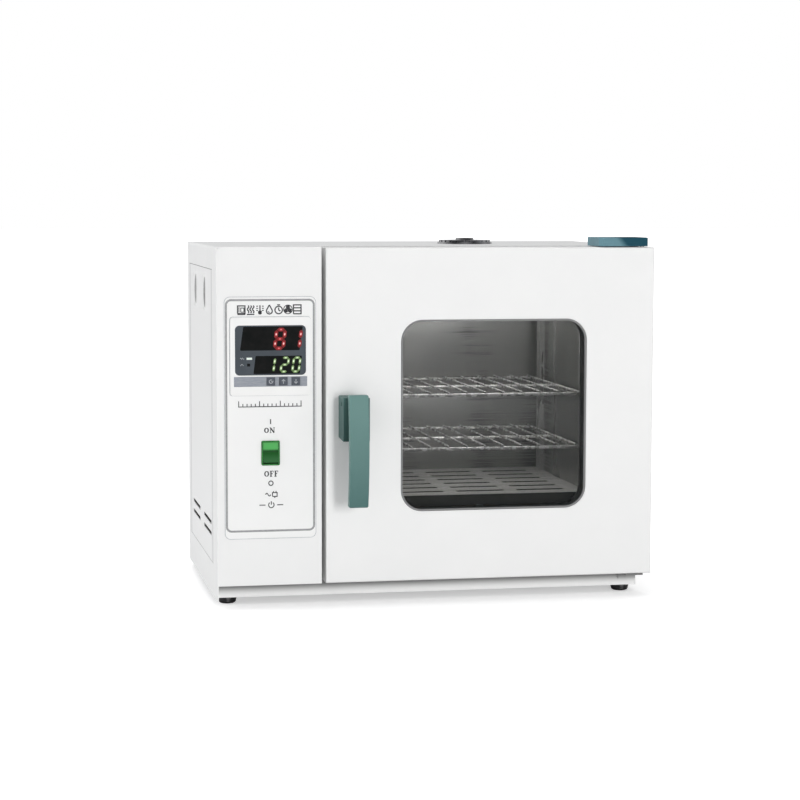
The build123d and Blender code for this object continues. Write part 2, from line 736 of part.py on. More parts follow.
with BuildPart() as heater_bushings:
    for y, z in heater_ends:
        rod((divider_left, divider_right + BUSHING_TAIL), y, z, BUSHING_NECK)
        rod((divider_left - BUSHING_FLANGE, divider_left), y, z, BUSHING_RADIUS)
        rod(
            (divider_left - BUSHING_FLANGE, divider_right + BUSHING_TAIL),
            y,
            z,
            HEATER_RADIUS + HOLE_CLEARANCE,
            Mode.SUBTRACT,
        )

with BuildPart() as sensor_probe:
    rod((divider_left - PROBE_TAIL, chamber_left + PROBE_REACH), probe_y, probe_z, PROBE_RADIUS)
    rod((divider_left - PROBE_NUT, divider_left), probe_y, probe_z, PROBE_NUT_RADIUS)

batt_top = top_under - BATT_CLEARANCE

with BuildPart() as insulation_batts:
    block(
        (divider_right + BATT_CLEARANCE, chamber_left - LINER),
        (frame_back + 2 * SHEET, chamber_end),
        (floor_top, batt_top),
    )
    block(
        (chamber_right + LINER, inner_right - SHEET),
        (frame_back + 2 * SHEET, chamber_end),
        (floor_top, batt_top),
    )
    block(
        (chamber_left - LINER + BATT_CLEARANCE, chamber_right + LINER - BATT_CLEARANCE),
        (frame_back + 2 * SHEET, chamber_end),
        (floor_top, chamber_floor - LINER),
    )
    block(
        (chamber_left - LINER + BATT_CLEARANCE, chamber_right + LINER - BATT_CLEARANCE),
        (frame_back + 2 * SHEET, chamber_end),
        (chamber_top + LINER, batt_top),
    )
    block(
        (divider_right + BATT_CLEARANCE, inner_right - SHEET),
        (chamber_end + LINER, flange_front - SHEET - SCREW_POINT),
        (floor_top, batt_top),
    )
    rod(chamber_x, chamber_y, (chamber_top + LINER, batt_top), VENT_BORE + VENT_WALL, Mode.SUBTRACT)
    for x, y in hinge_screw_places:
        rod(x, y, (batt_top - SCREW_POINT, batt_top), SCREW_RADIUS + HOLE_CLEARANCE, Mode.SUBTRACT)
    for y, z in heater_ends:
        rod((divider_right, chamber_left), y, z, BUSHING_NECK + HOLE_CLEARANCE, Mode.SUBTRACT)
    rod((divider_right, chamber_left), probe_y, probe_z, PROBE_RADIUS + HOLE_CLEARANCE, Mode.SUBTRACT)
    block(
        (strike_x[0] - BATT_CLEARANCE, strike_x[1] + BATT_CLEARANCE),
        (frame_back, strike_end + BATT_CLEARANCE),
        (strike_z[0] - BATT_CLEARANCE, strike_z[1] + BATT_CLEARANCE),
        Mode.SUBTRACT,
    )
    for x, y in feet:
        rod(
            x,
            y,
            (floor_top, floor_top + NUT_HEIGHT + BATT_CLEARANCE),
            FOOT_NUT_RADIUS + BATT_CLEARANCE,
            Mode.SUBTRACT,
        )

with BuildPart() as vent_duct:
    rod(chamber_x, chamber_y, (chamber_top + LINER, top_under), VENT_BORE + VENT_WALL)
    rod(chamber_x, chamber_y, (chamber_top + LINER, top_under), VENT_BORE, Mode.SUBTRACT)

# Chimney vent on the top

shutter_bottom = HEIGHT + COLLAR_THICKNESS
shutter_top = shutter_bottom + SHUTTER_THICKNESS
nut_bottom = shutter_top + RUNNING_CLEARANCE
hub_top = nut_bottom + NUT_THICKNESS

with BuildPart() as vent_collar:
    rod(chamber_x, chamber_y, (HEIGHT, shutter_bottom), COLLAR_RADIUS)
    rod(chamber_x, chamber_y, (shutter_bottom, hub_top), HUB_RADIUS)
    rod(chamber_x, chamber_y, (HEIGHT, hub_top), PORT_RADIUS, Mode.SUBTRACT)
    with Locations((chamber_x, chamber_y, HEIGHT)):
        with PolarLocations(VENT_HOLE_CIRCLE, VENT_HOLES):
            Cylinder(VENT_HOLE_RADIUS, 4 * COLLAR_THICKNESS, mode=Mode.SUBTRACT)

with BuildPart() as vent_shutter:
    rod(chamber_x, chamber_y, (shutter_bottom, shutter_top), SHUTTER_RADIUS)
    rod(chamber_x, chamber_y, (shutter_bottom, shutter_top), HUB_RADIUS + RUNNING_CLEARANCE, Mode.SUBTRACT)
    with Locations((chamber_x, chamber_y, shutter_bottom)):
        with PolarLocations(VENT_HOLE_CIRCLE, VENT_HOLES):
            Cylinder(VENT_HOLE_RADIUS, 4 * SHUTTER_THICKNESS, mode=Mode.SUBTRACT)
        with PolarLocations(SHUTTER_RADIUS, SHUTTER_GRIPS):
            Cylinder(GRIP_RADIUS, 4 * SHUTTER_THICKNESS, mode=Mode.SUBTRACT)

with BuildPart() as vent_nut:
    rod(chamber_x, chamber_y, (nut_bottom, hub_top), NUT_RADIUS)
    rod(chamber_x, chamber_y, (nut_bottom, hub_top), HUB_RADIUS + RUNNING_CLEARANCE, Mode.SUBTRACT)

# Door

bush_bore = HINGE_PIN_RADIUS + RUNNING_CLEARANCE
bush_radius = bush_bore + BUSH_WALL
bush_ends = ((door_bottom, door_bottom + BUSH_LENGTH), (door_top - BUSH_LENGTH, door_top))
outer_glass_front = skin_back + SEAL_THICKNESS
outer_glass_back = outer_glass_front + GLASS
inner_glass_front = liner_front - GLASS
handle_screw_z = BLOCK_TOP - BLOCK_HEIGHT + HANDLE_SCREW_RISE
handle_screw_places = [(handle_x + side * HANDLE_SCREW_SPREAD, handle_screw_z) for side in (-1, 1)]

with BuildPart() as door_outer_skin:
    block((door_left, right), (front, door_back), (door_bottom, door_top))
    fillet(door_outer_skin.faces().sort_by(Axis.Y)[0].edges(), DOOR_EDGE_RADIUS)
    block(
        (door_left + SHEET, right - SHEET),
        (skin_back, door_back),
        (door_bottom + SHEET, door_top - SHEET),
        Mode.SUBTRACT,
    )
    upright_plate(
        chamber_x,
        window_z,
        (front, skin_back),
        window_width,
        window_height,
        WINDOW_RADIUS,
        Mode.SUBTRACT,
    )
    block(latch_slot_x, (front, skin_back), latch_slot_z, Mode.SUBTRACT)
    rod(hinge_x, hinge_y, (door_bottom, door_bottom + SHEET), bush_radius, Mode.SUBTRACT)
    rod(hinge_x, hinge_y, (door_top - SHEET, door_top), bush_radius, Mode.SUBTRACT)
    for x, z in handle_screw_places:
        rod(x, (front, skin_back), z, SCREW_RADIUS, Mode.SUBTRACT)

with BuildPart() as door_liner:
    block(
        (door_left + SHEET, right - SHEET),
        (liner_front, door_back),
        (door_bottom + SHEET, door_top - SHEET),
    )
    upright_plate(
        chamber_x,
        window_z,
        (liner_front, door_back),
        window_width,
        window_height,
        WINDOW_RADIUS,
        Mode.SUBTRACT,
    )
    block(latch_slot_x, (liner_front, door_back), latch_slot_z, Mode.SUBTRACT)

with BuildPart() as door_insulation:
    block(
        (door_left + SHEET + DOOR_BATT_INSET, right - SHEET - DOOR_BATT_INSET),
        (skin_back, liner_front),
        (door_bottom + SHEET + DOOR_BATT_INSET, door_top - SHEET - DOOR_BATT_INSET),
    )
    upright_plate(
        chamber_x,
        window_z,
        (skin_back, liner_front),
        window_width + 2 * (SEAL_FLANGE + BATT_CLEARANCE),
        window_height + 2 * (SEAL_FLANGE + BATT_CLEARANCE),
        WINDOW_RADIUS,
        Mode.SUBTRACT,
    )
    block(
        (handle_x - LATCH_CAVITY, handle_x + LATCH_CAVITY),
        (skin_back, liner_front),
        (handle_screw_z - LATCH_CAVITY / 2, latch_slot_z[1] + BATT_CLEARANCE),
        Mode.SUBTRACT,
    )
    for ends in bush_ends:
        rod(hinge_x, hinge_y, ends, bush_radius + BATT_CLEARANCE, Mode.SUBTRACT)

with BuildPart() as window_seal:
    lip_width = window_width - 2 * SEAL_WIDTH
    lip_height = window_height - 2 * SEAL_WIDTH
    lip_radius = WINDOW_RADIUS - SEAL_WIDTH
    upright_ring(
        chamber_x,
        window_z,
        (front - SEAL_PROUD, skin_back),
        lip_width,
        lip_height,
        lip_radius,
        SEAL_WIDTH - HOLE_CLEARANCE / 2,
    )
    upright_ring(
        chamber_x,
        window_z,
        (skin_back, outer_glass_front),
        lip_width,
        lip_height,
        lip_radius,
        SEAL_WIDTH + SEAL_FLANGE,
    )

with BuildPart() as window_outer_glass:
    upright_plate(
        chamber_x,
        window_z,
        (outer_glass_front, outer_glass_back),
        window_width + 2 * GLASS_LAP,
        window_height + 2 * GLASS_LAP,
        WINDOW_RADIUS,
    )

with BuildPart() as window_inner_glass:
    upright_plate(
        chamber_x,
        window_z,
        (inner_glass_front, liner_front),
        window_width + 2 * GLASS_LAP,
        window_height + 2 * GLASS_LAP,
        WINDOW_RADIUS,
    )

with BuildPart() as window_spacer:
    upright_ring(
        chamber_x,
        window_z,
        (outer_glass_back, inner_glass_front),
        window_width,
        window_height,
        WINDOW_RADIUS,
        SPACER_WALL,
    )

with BuildPart() as door_gasket:
    upright_ring(
        chamber_x,
        chamber_z,
        (door_back, frame_front - GASKET_CLEARANCE),
        chamber_width + 2 * GASKET_OFFSET,
        chamber_height + 2 * GASKET_OFFSET,
        GASKET_WIDTH / 2,
        GASKET_WIDTH,
    )

with BuildPart() as door_hinge_bushes:
    for ends in bush_ends:
        rod(hinge_x, hinge_y, ends, bush_radius)
        rod(hinge_x, hinge_y, ends, bush_bore, Mode.SUBTRACT)

# Hinge parts on the cabinet

with BuildPart() as hinge_top_bracket:
    block(
        (cap_left + CAP_WALL + HOLE_CLEARANCE, cap_right - CAP_WALL - HOLE_CLEARANCE),
        (front + CAP_WALL + HOLE_CLEARANCE, front + CAP_DEPTH - CAP_WALL - HOLE_CLEARANCE),
        (HEIGHT, bracket_top),
    )
    chamfer(hinge_top_bracket.edges().filter_by(Axis.Z).group_by(Axis.X)[0].sort_by(Axis.Y)[0], CAP_CHAMFER)
    rod(hinge_x, hinge_y, (HEIGHT, bracket_top), HINGE_PIN_RADIUS, Mode.SUBTRACT)
    for x, y in hinge_screw_places:
        rod(x, y, (HEIGHT, bracket_top), SCREW_RADIUS, Mode.SUBTRACT)

with BuildPart() as hinge_bottom_bracket:
    lower_x = (hinge_x - LOWER_BRACKET_WIDTH, hinge_x + 2 * HINGE_PIN_RADIUS)
    block(lower_x, (front + SHEET, frame_front), (lower_top - LOWER_BRACKET_THICKNESS, lower_top))
    block(
        lower_x,
        (frame_front - LOWER_BRACKET_THICKNESS, frame_front),
        (lower_top - LOWER_BRACKET_DROP, lower_top),
    )
    rod(hinge_x, hinge_y, (lower_top - LOWER_BRACKET_THICKNESS, lower_top), HINGE_PIN_RADIUS, Mode.SUBTRACT)

with BuildPart() as hinge_pins:
    rod(hinge_x, hinge_y, (door_top - PIN_REACH, bracket_top), HINGE_PIN_RADIUS)
    rod(hinge_x, hinge_y, (bracket_top, bracket_top + PIN_HEAD_HEIGHT), PIN_HEAD_RADIUS)
    rod(hinge_x, hinge_y, (lower_top - LOWER_BRACKET_THICKNESS, door_bottom + PIN_REACH), HINGE_PIN_RADIUS)

with BuildPart() as hinge_top_cap:
    block((cap_left, cap_right), (front, front + CAP_DEPTH), (HEIGHT, HEIGHT + CAP_HEIGHT))
    corner = hinge_top_cap.edges().filter_by(Axis.Z).group_by(Axis.X)[0].sort_by(Axis.Y)[0]
    chamfer(corner, CAP_CHAMFER)
    fillet(hinge_top_cap.faces().sort_by(Axis.Z)[-1].edges(), CAP_EDGE_RADIUS)
    offset(amount=-CAP_WALL, openings=hinge_top_cap.faces().sort_by(Axis.Z)[0])

# Handle and latch

lever_top = BLOCK_TOP + LEVER_ABOVE_BLOCK
lever_bottom = lever_top - LEVER_LENGTH
lever_middle = (lever_top + lever_bottom) / 2
lever_crown = front - HANDLE_REACH
lever_end = lever_crown + LEVER_ARCH
ear_half = HOOK_THICKNESS / 2 + HOOK_GAP + EAR_THICKNESS
block_bottom = BLOCK_TOP - BLOCK_HEIGHT
block_front = front - BLOCK_DEPTH

with BuildPart() as handle_block:
    with BuildSketch(Plane.YZ.offset(handle_x - BLOCK_WIDTH / 2)):
        with BuildLine():
            Polyline(
                (front, block_bottom),
                (front, BLOCK_TOP),
                (block_front, BLOCK_TOP),
                (block_front, block_bottom - BLOCK_SLOPE),
                close=True,
            )
        make_face()
    extrude(amount=BLOCK_WIDTH)
    side_edges = handle_block.edges().filter_by(Axis.Y)
    front_edges = handle_block.edges().filter_by(Axis.X).group_by(Axis.Y)[0]
    fillet(side_edges + front_edges, BLOCK_EDGE_RADIUS)
    block(
        (handle_x - ear_half - EAR_CLEARANCE, handle_x + ear_half + EAR_CLEARANCE),
        (block_front, pivot_y + EAR_RADIUS + EAR_CLEARANCE),
        (pivot_z - EAR_RADIUS - HOOK_HEIGHT, pivot_z + EAR_RADIUS + EAR_CLEARANCE),
        Mode.SUBTRACT,
    )
    block(
        latch_slot_x,
        (pivot_y, front),
        (pivot_z - EAR_RADIUS - HOOK_HEIGHT, latch_slot_z[1]),
        Mode.SUBTRACT,
    )
    rod(
        (handle_x - BLOCK_WIDTH / 2, handle_x + BLOCK_WIDTH / 2),
        pivot_y,
        pivot_z,
        HANDLE_PIN_RADIUS,
        Mode.SUBTRACT,
    )
    for x, z in handle_screw_places:
        rod(x, (front - HANDLE_SCREW_DEPTH, front), z, SCREW_RADIUS, Mode.SUBTRACT)

with BuildPart() as handle_lever:
    with BuildSketch(Plane.YZ.offset(handle_x - LEVER_WIDTH / 2)):
        with BuildLine():
            ThreePointArc((lever_end, lever_bottom), (lever_crown, lever_middle), (lever_end, lever_top))
            Line((lever_end, lever_top), (lever_end + LEVER_THICKNESS, lever_top))
            ThreePointArc(
                (lever_end + LEVER_THICKNESS, lever_top),
                (lever_crown + LEVER_THICKNESS, lever_middle),
                (lever_end + LEVER_THICKNESS, lever_bottom),
            )
            Line((lever_end + LEVER_THICKNESS, lever_bottom), (lever_end, lever_bottom))
        make_face()
    extrude(amount=LEVER_WIDTH)
    fillet(handle_lever.edges(), LEVER_EDGE_RADIUS)
    for side in (-1, 1):
        outside = handle_x + side * ear_half
        ear = tuple(sorted((outside, outside - side * EAR_THICKNESS)))
        rod(ear, pivot_y, pivot_z, EAR_RADIUS)
        block(
            ear,
            (lever_end + LEVER_THICKNESS - EAR_ROOT, pivot_y),
            (pivot_z - EAR_RADIUS, pivot_z + EAR_RADIUS - EAR_DROP),
        )
        rod(ear, pivot_y, pivot_z, HANDLE_PIN_RADIUS + RUNNING_CLEARANCE, Mode.SUBTRACT)

with BuildPart() as latch_hook:
    hook_x = (handle_x - HOOK_THICKNESS / 2, handle_x + HOOK_THICKNESS / 2)
    rod(hook_x, pivot_y, pivot_z, EAR_RADIUS)
    block(
        hook_x,
        (lever_end + LEVER_THICKNESS + HOOK_GAP, pivot_y),
        (pivot_z - EAR_RADIUS, pivot_z + EAR_RADIUS - EAR_DROP),
    )
    block(hook_x, (pivot_y, hook_tip), (hook_bottom, hook_top))
    block(hook_x, (hook_tip - NIB_LENGTH, hook_tip), (hook_top, nib_top))
    rod(hook_x, pivot_y, pivot_z, HANDLE_PIN_RADIUS + RUNNING_CLEARANCE, Mode.SUBTRACT)

with BuildPart() as handle_pin:
    rod(
        (handle_x - BLOCK_WIDTH / 2 + PIN_RECESS, handle_x + BLOCK_WIDTH / 2 - PIN_RECESS),
        pivot_y,
        pivot_z,
        HANDLE_PIN_RADIUS,
    )

with BuildPart() as handle_screws:
    for x, z in handle_screw_places:
        rod(x, (front - HANDLE_SCREW_DEPTH, skin_back), z, SCREW_RADIUS)
        rod(x, (skin_back, skin_back + SCREW_HEAD_HEIGHT), z, SCREW_HEAD)

with BuildPart() as latch_strike:
    block(strike_x, (frame_back, strike_end), strike_z)
    block(
        (strike_x[0] + SHEET, strike_x[1] - SHEET),
        (frame_back, strike_end - SHEET),
        (strike_z[0] + SHEET, strike_z[1] - SHEET),
        Mode.SUBTRACT,
    )

# Controls on the fascia

strip_front = bezel_front + STRIP_RECESS
strip_back = strip_front + STRIP_THICKNESS
key_flange_front = strip_back + KEY_SEAT
key_back = key_flange_front + KEY_FLANGE
tact_front = key_back + KEY_TRAVEL + KEY_SEAT
board_front = tact_front + TACT_HEIGHT
board_back = board_front + BOARD
housing_back = label_front + HOUSING_DEPTH
opening_width = SWITCH_WIDTH - 2 * SWITCH_RIM
opening_height = SWITCH_HEIGHT - 2 * SWITCH_RIM
rocker_y = label_front + ROCKER_PIVOT_DEPTH

with BuildPart() as control_label:
    upright_plate(label_x, label_z, (label_front, front), LABEL_WIDTH, label_height, LABEL_RADIUS)
    with Locations((label_x, front, controller_z)):
        Box(housing_width, 4 * LABEL_THICKNESS, housing_height, mode=Mode.SUBTRACT)
    with Locations((label_x, front, switch_z)):
        Box(switch_body_width, 4 * LABEL_THICKNESS, switch_body_height, mode=Mode.SUBTRACT)

with BuildPart() as controller_case:
    upright_plate(
        label_x, controller_z, (bezel_front, label_front), CONTROLLER_WIDTH, CONTROLLER_HEIGHT, BEZEL_RADIUS
    )
    with Locations((label_x, (label_front + housing_back) / 2, controller_z)):
        Box(housing_width - HOUSING_FIT, HOUSING_DEPTH, housing_height - HOUSING_FIT)
    with Locations((label_x, (label_front + housing_back - HOUSING_WALL) / 2, controller_z)):
        Box(board_width, HOUSING_DEPTH - HOUSING_WALL, board_height, mode=Mode.SUBTRACT)
    upright_plate(
        label_x,
        display_z,
        (bezel_front, label_front),
        DISPLAY_WIDTH,
        DISPLAY_HEIGHT,
        DISPLAY_RADIUS,
        Mode.SUBTRACT,
    )
    with Locations((label_x, bezel_front, strip_z)):
        Box(STRIP_WIDTH, 4 * BEZEL_PROUD, STRIP_HEIGHT, mode=Mode.SUBTRACT)

with BuildPart() as controller_window:
    upright_plate(
        label_x,
        display_z,
        (bezel_front + WINDOW_RECESS, label_front),
        DISPLAY_WIDTH - WINDOW_FIT,
        DISPLAY_HEIGHT - WINDOW_FIT,
        DISPLAY_RADIUS,
    )

with BuildPart() as controller_key_strip:
    with Locations((label_x, (strip_front + strip_back) / 2, strip_z)):
        Box(STRIP_WIDTH - WINDOW_FIT, STRIP_THICKNESS, STRIP_HEIGHT - WINDOW_FIT)
    for x in key_places:
        with Locations((x, strip_front, strip_z)):
            Box(KEY_WIDTH + 2 * KEY_GAP, 4 * STRIP_THICKNESS, KEY_HEIGHT + 2 * KEY_GAP, mode=Mode.SUBTRACT)

with BuildPart() as controller_board:
    with Locations((label_x, (board_front + board_back) / 2, controller_z)):
        Box(board_width, BOARD, board_height)
    for x in key_places:
        with Locations((x, (tact_front + board_front) / 2, strip_z)):
            Box(TACT_WIDTH, TACT_HEIGHT, TACT_WIDTH)

keys = {}
for name, x in zip(("key_left", "key_middle", "key_right"), key_places):
    with BuildPart() as keys[name]:
        upright_plate(
            x, strip_z, (bezel_front - KEY_PROUD, key_flange_front), KEY_WIDTH, KEY_HEIGHT, KEY_RADIUS
        )
        with Locations((x, (key_flange_front + key_back) / 2, strip_z)):
            Box(KEY_WIDTH + 2 * KEY_LAP, KEY_FLANGE, KEY_HEIGHT + 2 * KEY_LAP)

with BuildPart() as switch_body:
    upright_plate(
        label_x,
        switch_z,
        (label_front - SWITCH_PROUD, label_front),
        SWITCH_WIDTH,
        SWITCH_HEIGHT,
        SWITCH_RIM,
    )
    with Locations((label_x, label_front + SWITCH_DEPTH / 2, switch_z)):
        Box(switch_body_width - HOUSING_FIT, SWITCH_DEPTH, switch_body_height - HOUSING_FIT)
    with Locations((label_x, label_front + (ROCKER_WELL - SWITCH_PROUD) / 2, switch_z)):
        Box(opening_width, ROCKER_WELL + SWITCH_PROUD, opening_height, mode=Mode.SUBTRACT)
    rod(
        (label_x - opening_width / 2 - ROCKER_STUB, label_x + opening_width / 2 + ROCKER_STUB),
        rocker_y,
        switch_z,
        ROCKER_PIN_RADIUS + RUNNING_CLEARANCE,
        Mode.SUBTRACT,
    )

tilt = math.radians(ROCKER_TILT)
rocker_width = opening_width - 2 * ROCKER_GAP
rocker_half = opening_height / 2 - ROCKER_END_GAP
rocker_plane = Plane(
    origin=(label_x - rocker_width / 2, rocker_y, switch_z),
    x_dir=(0, math.cos(tilt), -math.sin(tilt)),
    z_dir=(1, 0, 0),
)

with BuildPart() as power_rocker:
    with BuildSketch(rocker_plane):
        with BuildLine():
            Polyline(
                (ROCKER_BACK, -rocker_half),
                (-ROCKER_TIP, -rocker_half),
                (-ROCKER_WAIST, 0),
                (-ROCKER_TIP, rocker_half),
                (ROCKER_BACK, rocker_half),
                close=True,
            )
        make_face()
    extrude(amount=rocker_width)
    rod(
        (label_x - rocker_width / 2 - ROCKER_STUB, label_x + rocker_width / 2 + ROCKER_STUB),
        rocker_y,
        switch_z,
        ROCKER_PIN_RADIUS,
    )

# Shelves

shelves = {}
for name, level in zip(("shelf_lower", "shelf_upper"), SHELF_LEVELS):
    rod_z = chamber_floor + level
    wire_z = rod_z + SHELF_ROD + SHELF_WIRE - WELD_SINK
    wire_count = int((shelf_right - shelf_left - 2 * SHELF_ROD) / SHELF_PITCH)
    with BuildPart() as shelves[name]:
        for y in (shelf_front + SHELF_ROD, chamber_y, shelf_back - SHELF_ROD):
            rod((shelf_left, shelf_right), y, rod_z, SHELF_ROD)
        for x in (shelf_left + SHELF_ROD, shelf_right - SHELF_ROD):
            rod(x, (shelf_front, shelf_back), rod_z, SHELF_ROD)
        for step in range(wire_count + 1):
            x = chamber_x + (step - wire_count / 2) * SHELF_PITCH
            rod(x, (shelf_front, shelf_back), wire_z, SHELF_WIRE)

# Feet

with BuildPart() as rubber_feet:
    for x, y in feet:
        with Locations((x, y, FOOT_HEIGHT / 2)):
            Cone(FOOT_RADIUS - FOOT_TAPER, FOOT_RADIUS, FOOT_HEIGHT)
        rod(x, y, (0, FOOT_RECESS), FOOT_NUT_RADIUS + HOLE_CLEARANCE, Mode.SUBTRACT)
        rod(x, y, (FOOT_RECESS, FOOT_HEIGHT), FOOT_SCREW_RADIUS, Mode.SUBTRACT)

with BuildPart() as feet_screws:
    for x, y in feet:
        rod(x, y, (FOOT_RECESS - NUT_HEIGHT, FOOT_RECESS), FOOT_NUT_RADIUS)
        rod(x, y, (FOOT_RECESS, floor_top), FOOT_SCREW_RADIUS)
        rod(x, y, (floor_top, floor_top + NUT_HEIGHT), FOOT_NUT_RADIUS)

# Electrics in the control compartment

sink_y = frame_back + SINK_FRONT
terminal_y = flange_front - TERMINAL_REAR
sink_top = floor_top + SINK_HEIGHT

with BuildPart() as mains_gland:
    rod(fitting_x, (panel_back, rear), gland_z, GLAND_RADIUS)
    rod(fitting_x, (panel_front - GLAND_INSIDE, panel_back), gland_z, GLAND_NECK)
    rod(fitting_x, (panel_front - GLAND_NUT, panel_front), gland_z, GLAND_RADIUS)
    rod(fitting_x, (panel_front - GLAND_INSIDE, rear), gland_z, GLAND_BORE, Mode.SUBTRACT)

with BuildPart() as relay_heat_sink:
    with Locations((compartment_x, sink_y, sink_top - SINK_PLATE / 2)):
        Box(SINK_WIDTH, SINK_LENGTH, SINK_PLATE)
    with Locations((compartment_x, sink_y, (floor_top + sink_top - SINK_PLATE) / 2)):
        with GridLocations((SINK_WIDTH - SINK_FIN) / (SINK_FINS - 1), 1, SINK_FINS, 1):
            Box(SINK_FIN, SINK_LENGTH, sink_top - SINK_PLATE - floor_top)

with BuildPart() as relay_module:
    with Locations((compartment_x, sink_y, sink_top + RELAY_HEIGHT / 2)):
        Box(RELAY_WIDTH, RELAY_LENGTH, RELAY_HEIGHT)

with BuildPart() as terminal_block:
    with Locations((compartment_x, terminal_y, floor_top + TERMINAL_HEIGHT / 2)):
        Box(TERMINAL_WIDTH, TERMINAL_LENGTH, TERMINAL_HEIGHT)
    with Locations((compartment_x, terminal_y, floor_top + TERMINAL_HEIGHT)):
        with GridLocations(TERMINAL_PITCH, TERMINAL_LENGTH / 2, TERMINAL_WAYS, 2):
            Cylinder(TERMINAL_HOLE, 2 * TERMINAL_HOLE_DEPTH, mode=Mode.SUBTRACT)

tail_x = divider_left - HEATER_TAIL
tails = [y for y, z in heater_ends]
terminal_front = terminal_y - TERMINAL_LENGTH / 2
lead_z = floor_top + TERMINAL_HEIGHT / 2
relay_top = sink_top + RELAY_HEIGHT
switch_back = label_front + SWITCH_DEPTH
lead_x = compartment_x - SINK_WIDTH / 2 - LEAD_RUN / 2

with BuildPart() as internal_wiring:
    lead(
        [
            (fitting_x, panel_front - GLAND_INSIDE, gland_z),
            (fitting_x, terminal_y + 2 * LEAD_RUN, gland_z),
            (fitting_x, terminal_y + 1.3 * LEAD_RUN, lead_z),
            (fitting_x, terminal_y + TERMINAL_LENGTH / 2, lead_z),
        ],
        MAINS_LEAD_RADIUS,
    )
    lead(
        [
            (compartment_x - TERMINAL_PITCH, terminal_front, lead_z),
            (compartment_x - TERMINAL_PITCH, terminal_front - LEAD_RUN, lead_z),
            (lead_x, terminal_front - 2 * LEAD_RUN, sink_top),
            (lead_x, frame_back + 3 * LEAD_RUN, sink_top),
            (lead_x, frame_back + LEAD_RUN, gland_z + LEAD_RUN),
            (label_x - WIRE_RADIUS, frame_back + LEAD_RUN, switch_z - LEAD_RUN),
            (label_x, switch_back + LEAD_RUN, switch_z),
            (label_x, switch_back, switch_z),
        ],
        WIRE_RADIUS,
    )
    lead(
        [
            (compartment_x + TERMINAL_PITCH, terminal_front, lead_z),
            (compartment_x + TERMINAL_PITCH, terminal_front - LEAD_RUN / 2, lead_z),
            (tail_x - LEAD_RUN, terminal_front - LEAD_RUN, sink_top + LEAD_RUN),
            (tail_x - LEAD_RUN, tails[2], heater_z),
            (tail_x, tails[2], heater_z),
        ],
        WIRE_RADIUS,
    )
    lead(
        [
            (compartment_x, sink_y, relay_top),
            (compartment_x, sink_y, relay_top + LEAD_RUN),
            (tail_x - LEAD_RUN, tails[1], heater_z),
            (tail_x, tails[1], heater_z),
        ],
        WIRE_RADIUS,
    )
    lead(
        [
            (tail_x, tails[0], heater_z),
            (tail_x - 1.5 * LEAD_RUN, tails[0], heater_z),
            (tail_x - 1.5 * LEAD_RUN, tails[3], heater_z),
            (tail_x, tails[3], heater_z),
        ],
        WIRE_RADIUS,
    )
    lead(
        [
            (divider_left - PROBE_TAIL, probe_y, probe_z),
            (divider_left - PROBE_TAIL - LEAD_RUN, probe_y, probe_z),
            (label_x, probe_y - 2 * LEAD_RUN, probe_z - LEAD_RUN),
            (label_x, housing_back + LEAD_RUN, controller_z),
            (label_x, housing_back, controller_z),
        ],
        WIRE_RADIUS,
    )

pieces = {
    "cabinet_wrap": cabinet_wrap,
    "access_panel": access_panel,
    "rear_panel": rear_panel,
    "casing_screws": casing_screws,
    "base_pan": base_pan,
    "front_frame": front_frame,
    "compartment_divider": compartment_divider,
    "control_fascia": control_fascia,
    "chamber_sleeve": chamber_sleeve,
    "chamber_back": chamber_back,
    "heat_baffle": heat_baffle,
    "heater_tubes": heater_tubes,
    "heater_clips": heater_clips,
    "heater_bushings": heater_bushings,
    "sensor_probe": sensor_probe,
    "insulation_batts": insulation_batts,
    "vent_duct": vent_duct,
    "vent_collar": vent_collar,
    "vent_shutter": vent_shutter,
    "vent_nut": vent_nut,
    "door_outer_skin": door_outer_skin,
    "door_liner": door_liner,
    "door_insulation": door_insulation,
    "window_seal": window_seal,
    "window_outer_glass": window_outer_glass,
    "window_inner_glass": window_inner_glass,
    "window_spacer": window_spacer,
    "door_gasket": door_gasket,
    "door_hinge_bushes": door_hinge_bushes,
    "hinge_top_bracket": hinge_top_bracket,
    "hinge_bottom_bracket": hinge_bottom_bracket,
    "hinge_pins": hinge_pins,
    "hinge_top_cap": hinge_top_cap,
    "handle_block": handle_block,
    "handle_lever": handle_lever,
    "latch_hook": latch_hook,
    "handle_pin": handle_pin,
    "handle_screws": handle_screws,
    "latch_strike": latch_strike,
    "control_label": control_label,
    "controller_case": controller_case,
    "controller_window": controller_window,
    "controller_key_strip": controller_key_strip,
    "controller_board": controller_board,
    "switch_body": switch_body,
    "power_rocker": power_rocker,
    "rubber_feet": rubber_feet,
    "feet_screws": feet_screws,
    "mains_gland": mains_gland,
    "relay_heat_sink": relay_heat_sink,
    "relay_module": relay_module,
    "terminal_block": terminal_block,
    "internal_wiring": internal_wiring,
    **racks,
    **keys,
    **shelves,
}

for name, piece in pieces.items():
    piece.part.label = name
    export_step(piece.part, f"parts/{name}.step")
    print(name, len(piece.part.solids()), "solids")
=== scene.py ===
# %% [markdown]
# # A bench drying oven
#
# The oven is a white powder-coated steel cabinet with a narrow control section on the left and a windowed
# door on the right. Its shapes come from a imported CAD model, the frame, which is loaded first and never
# changed. This script gives every surface its finish and adds the pieces that are finer than the CAD:
# lit digits, printed marks, wire shelves, moulded feet, seals and screw heads.
#
# Every length is in metres, and every new shape is a surface worked out with numpy.

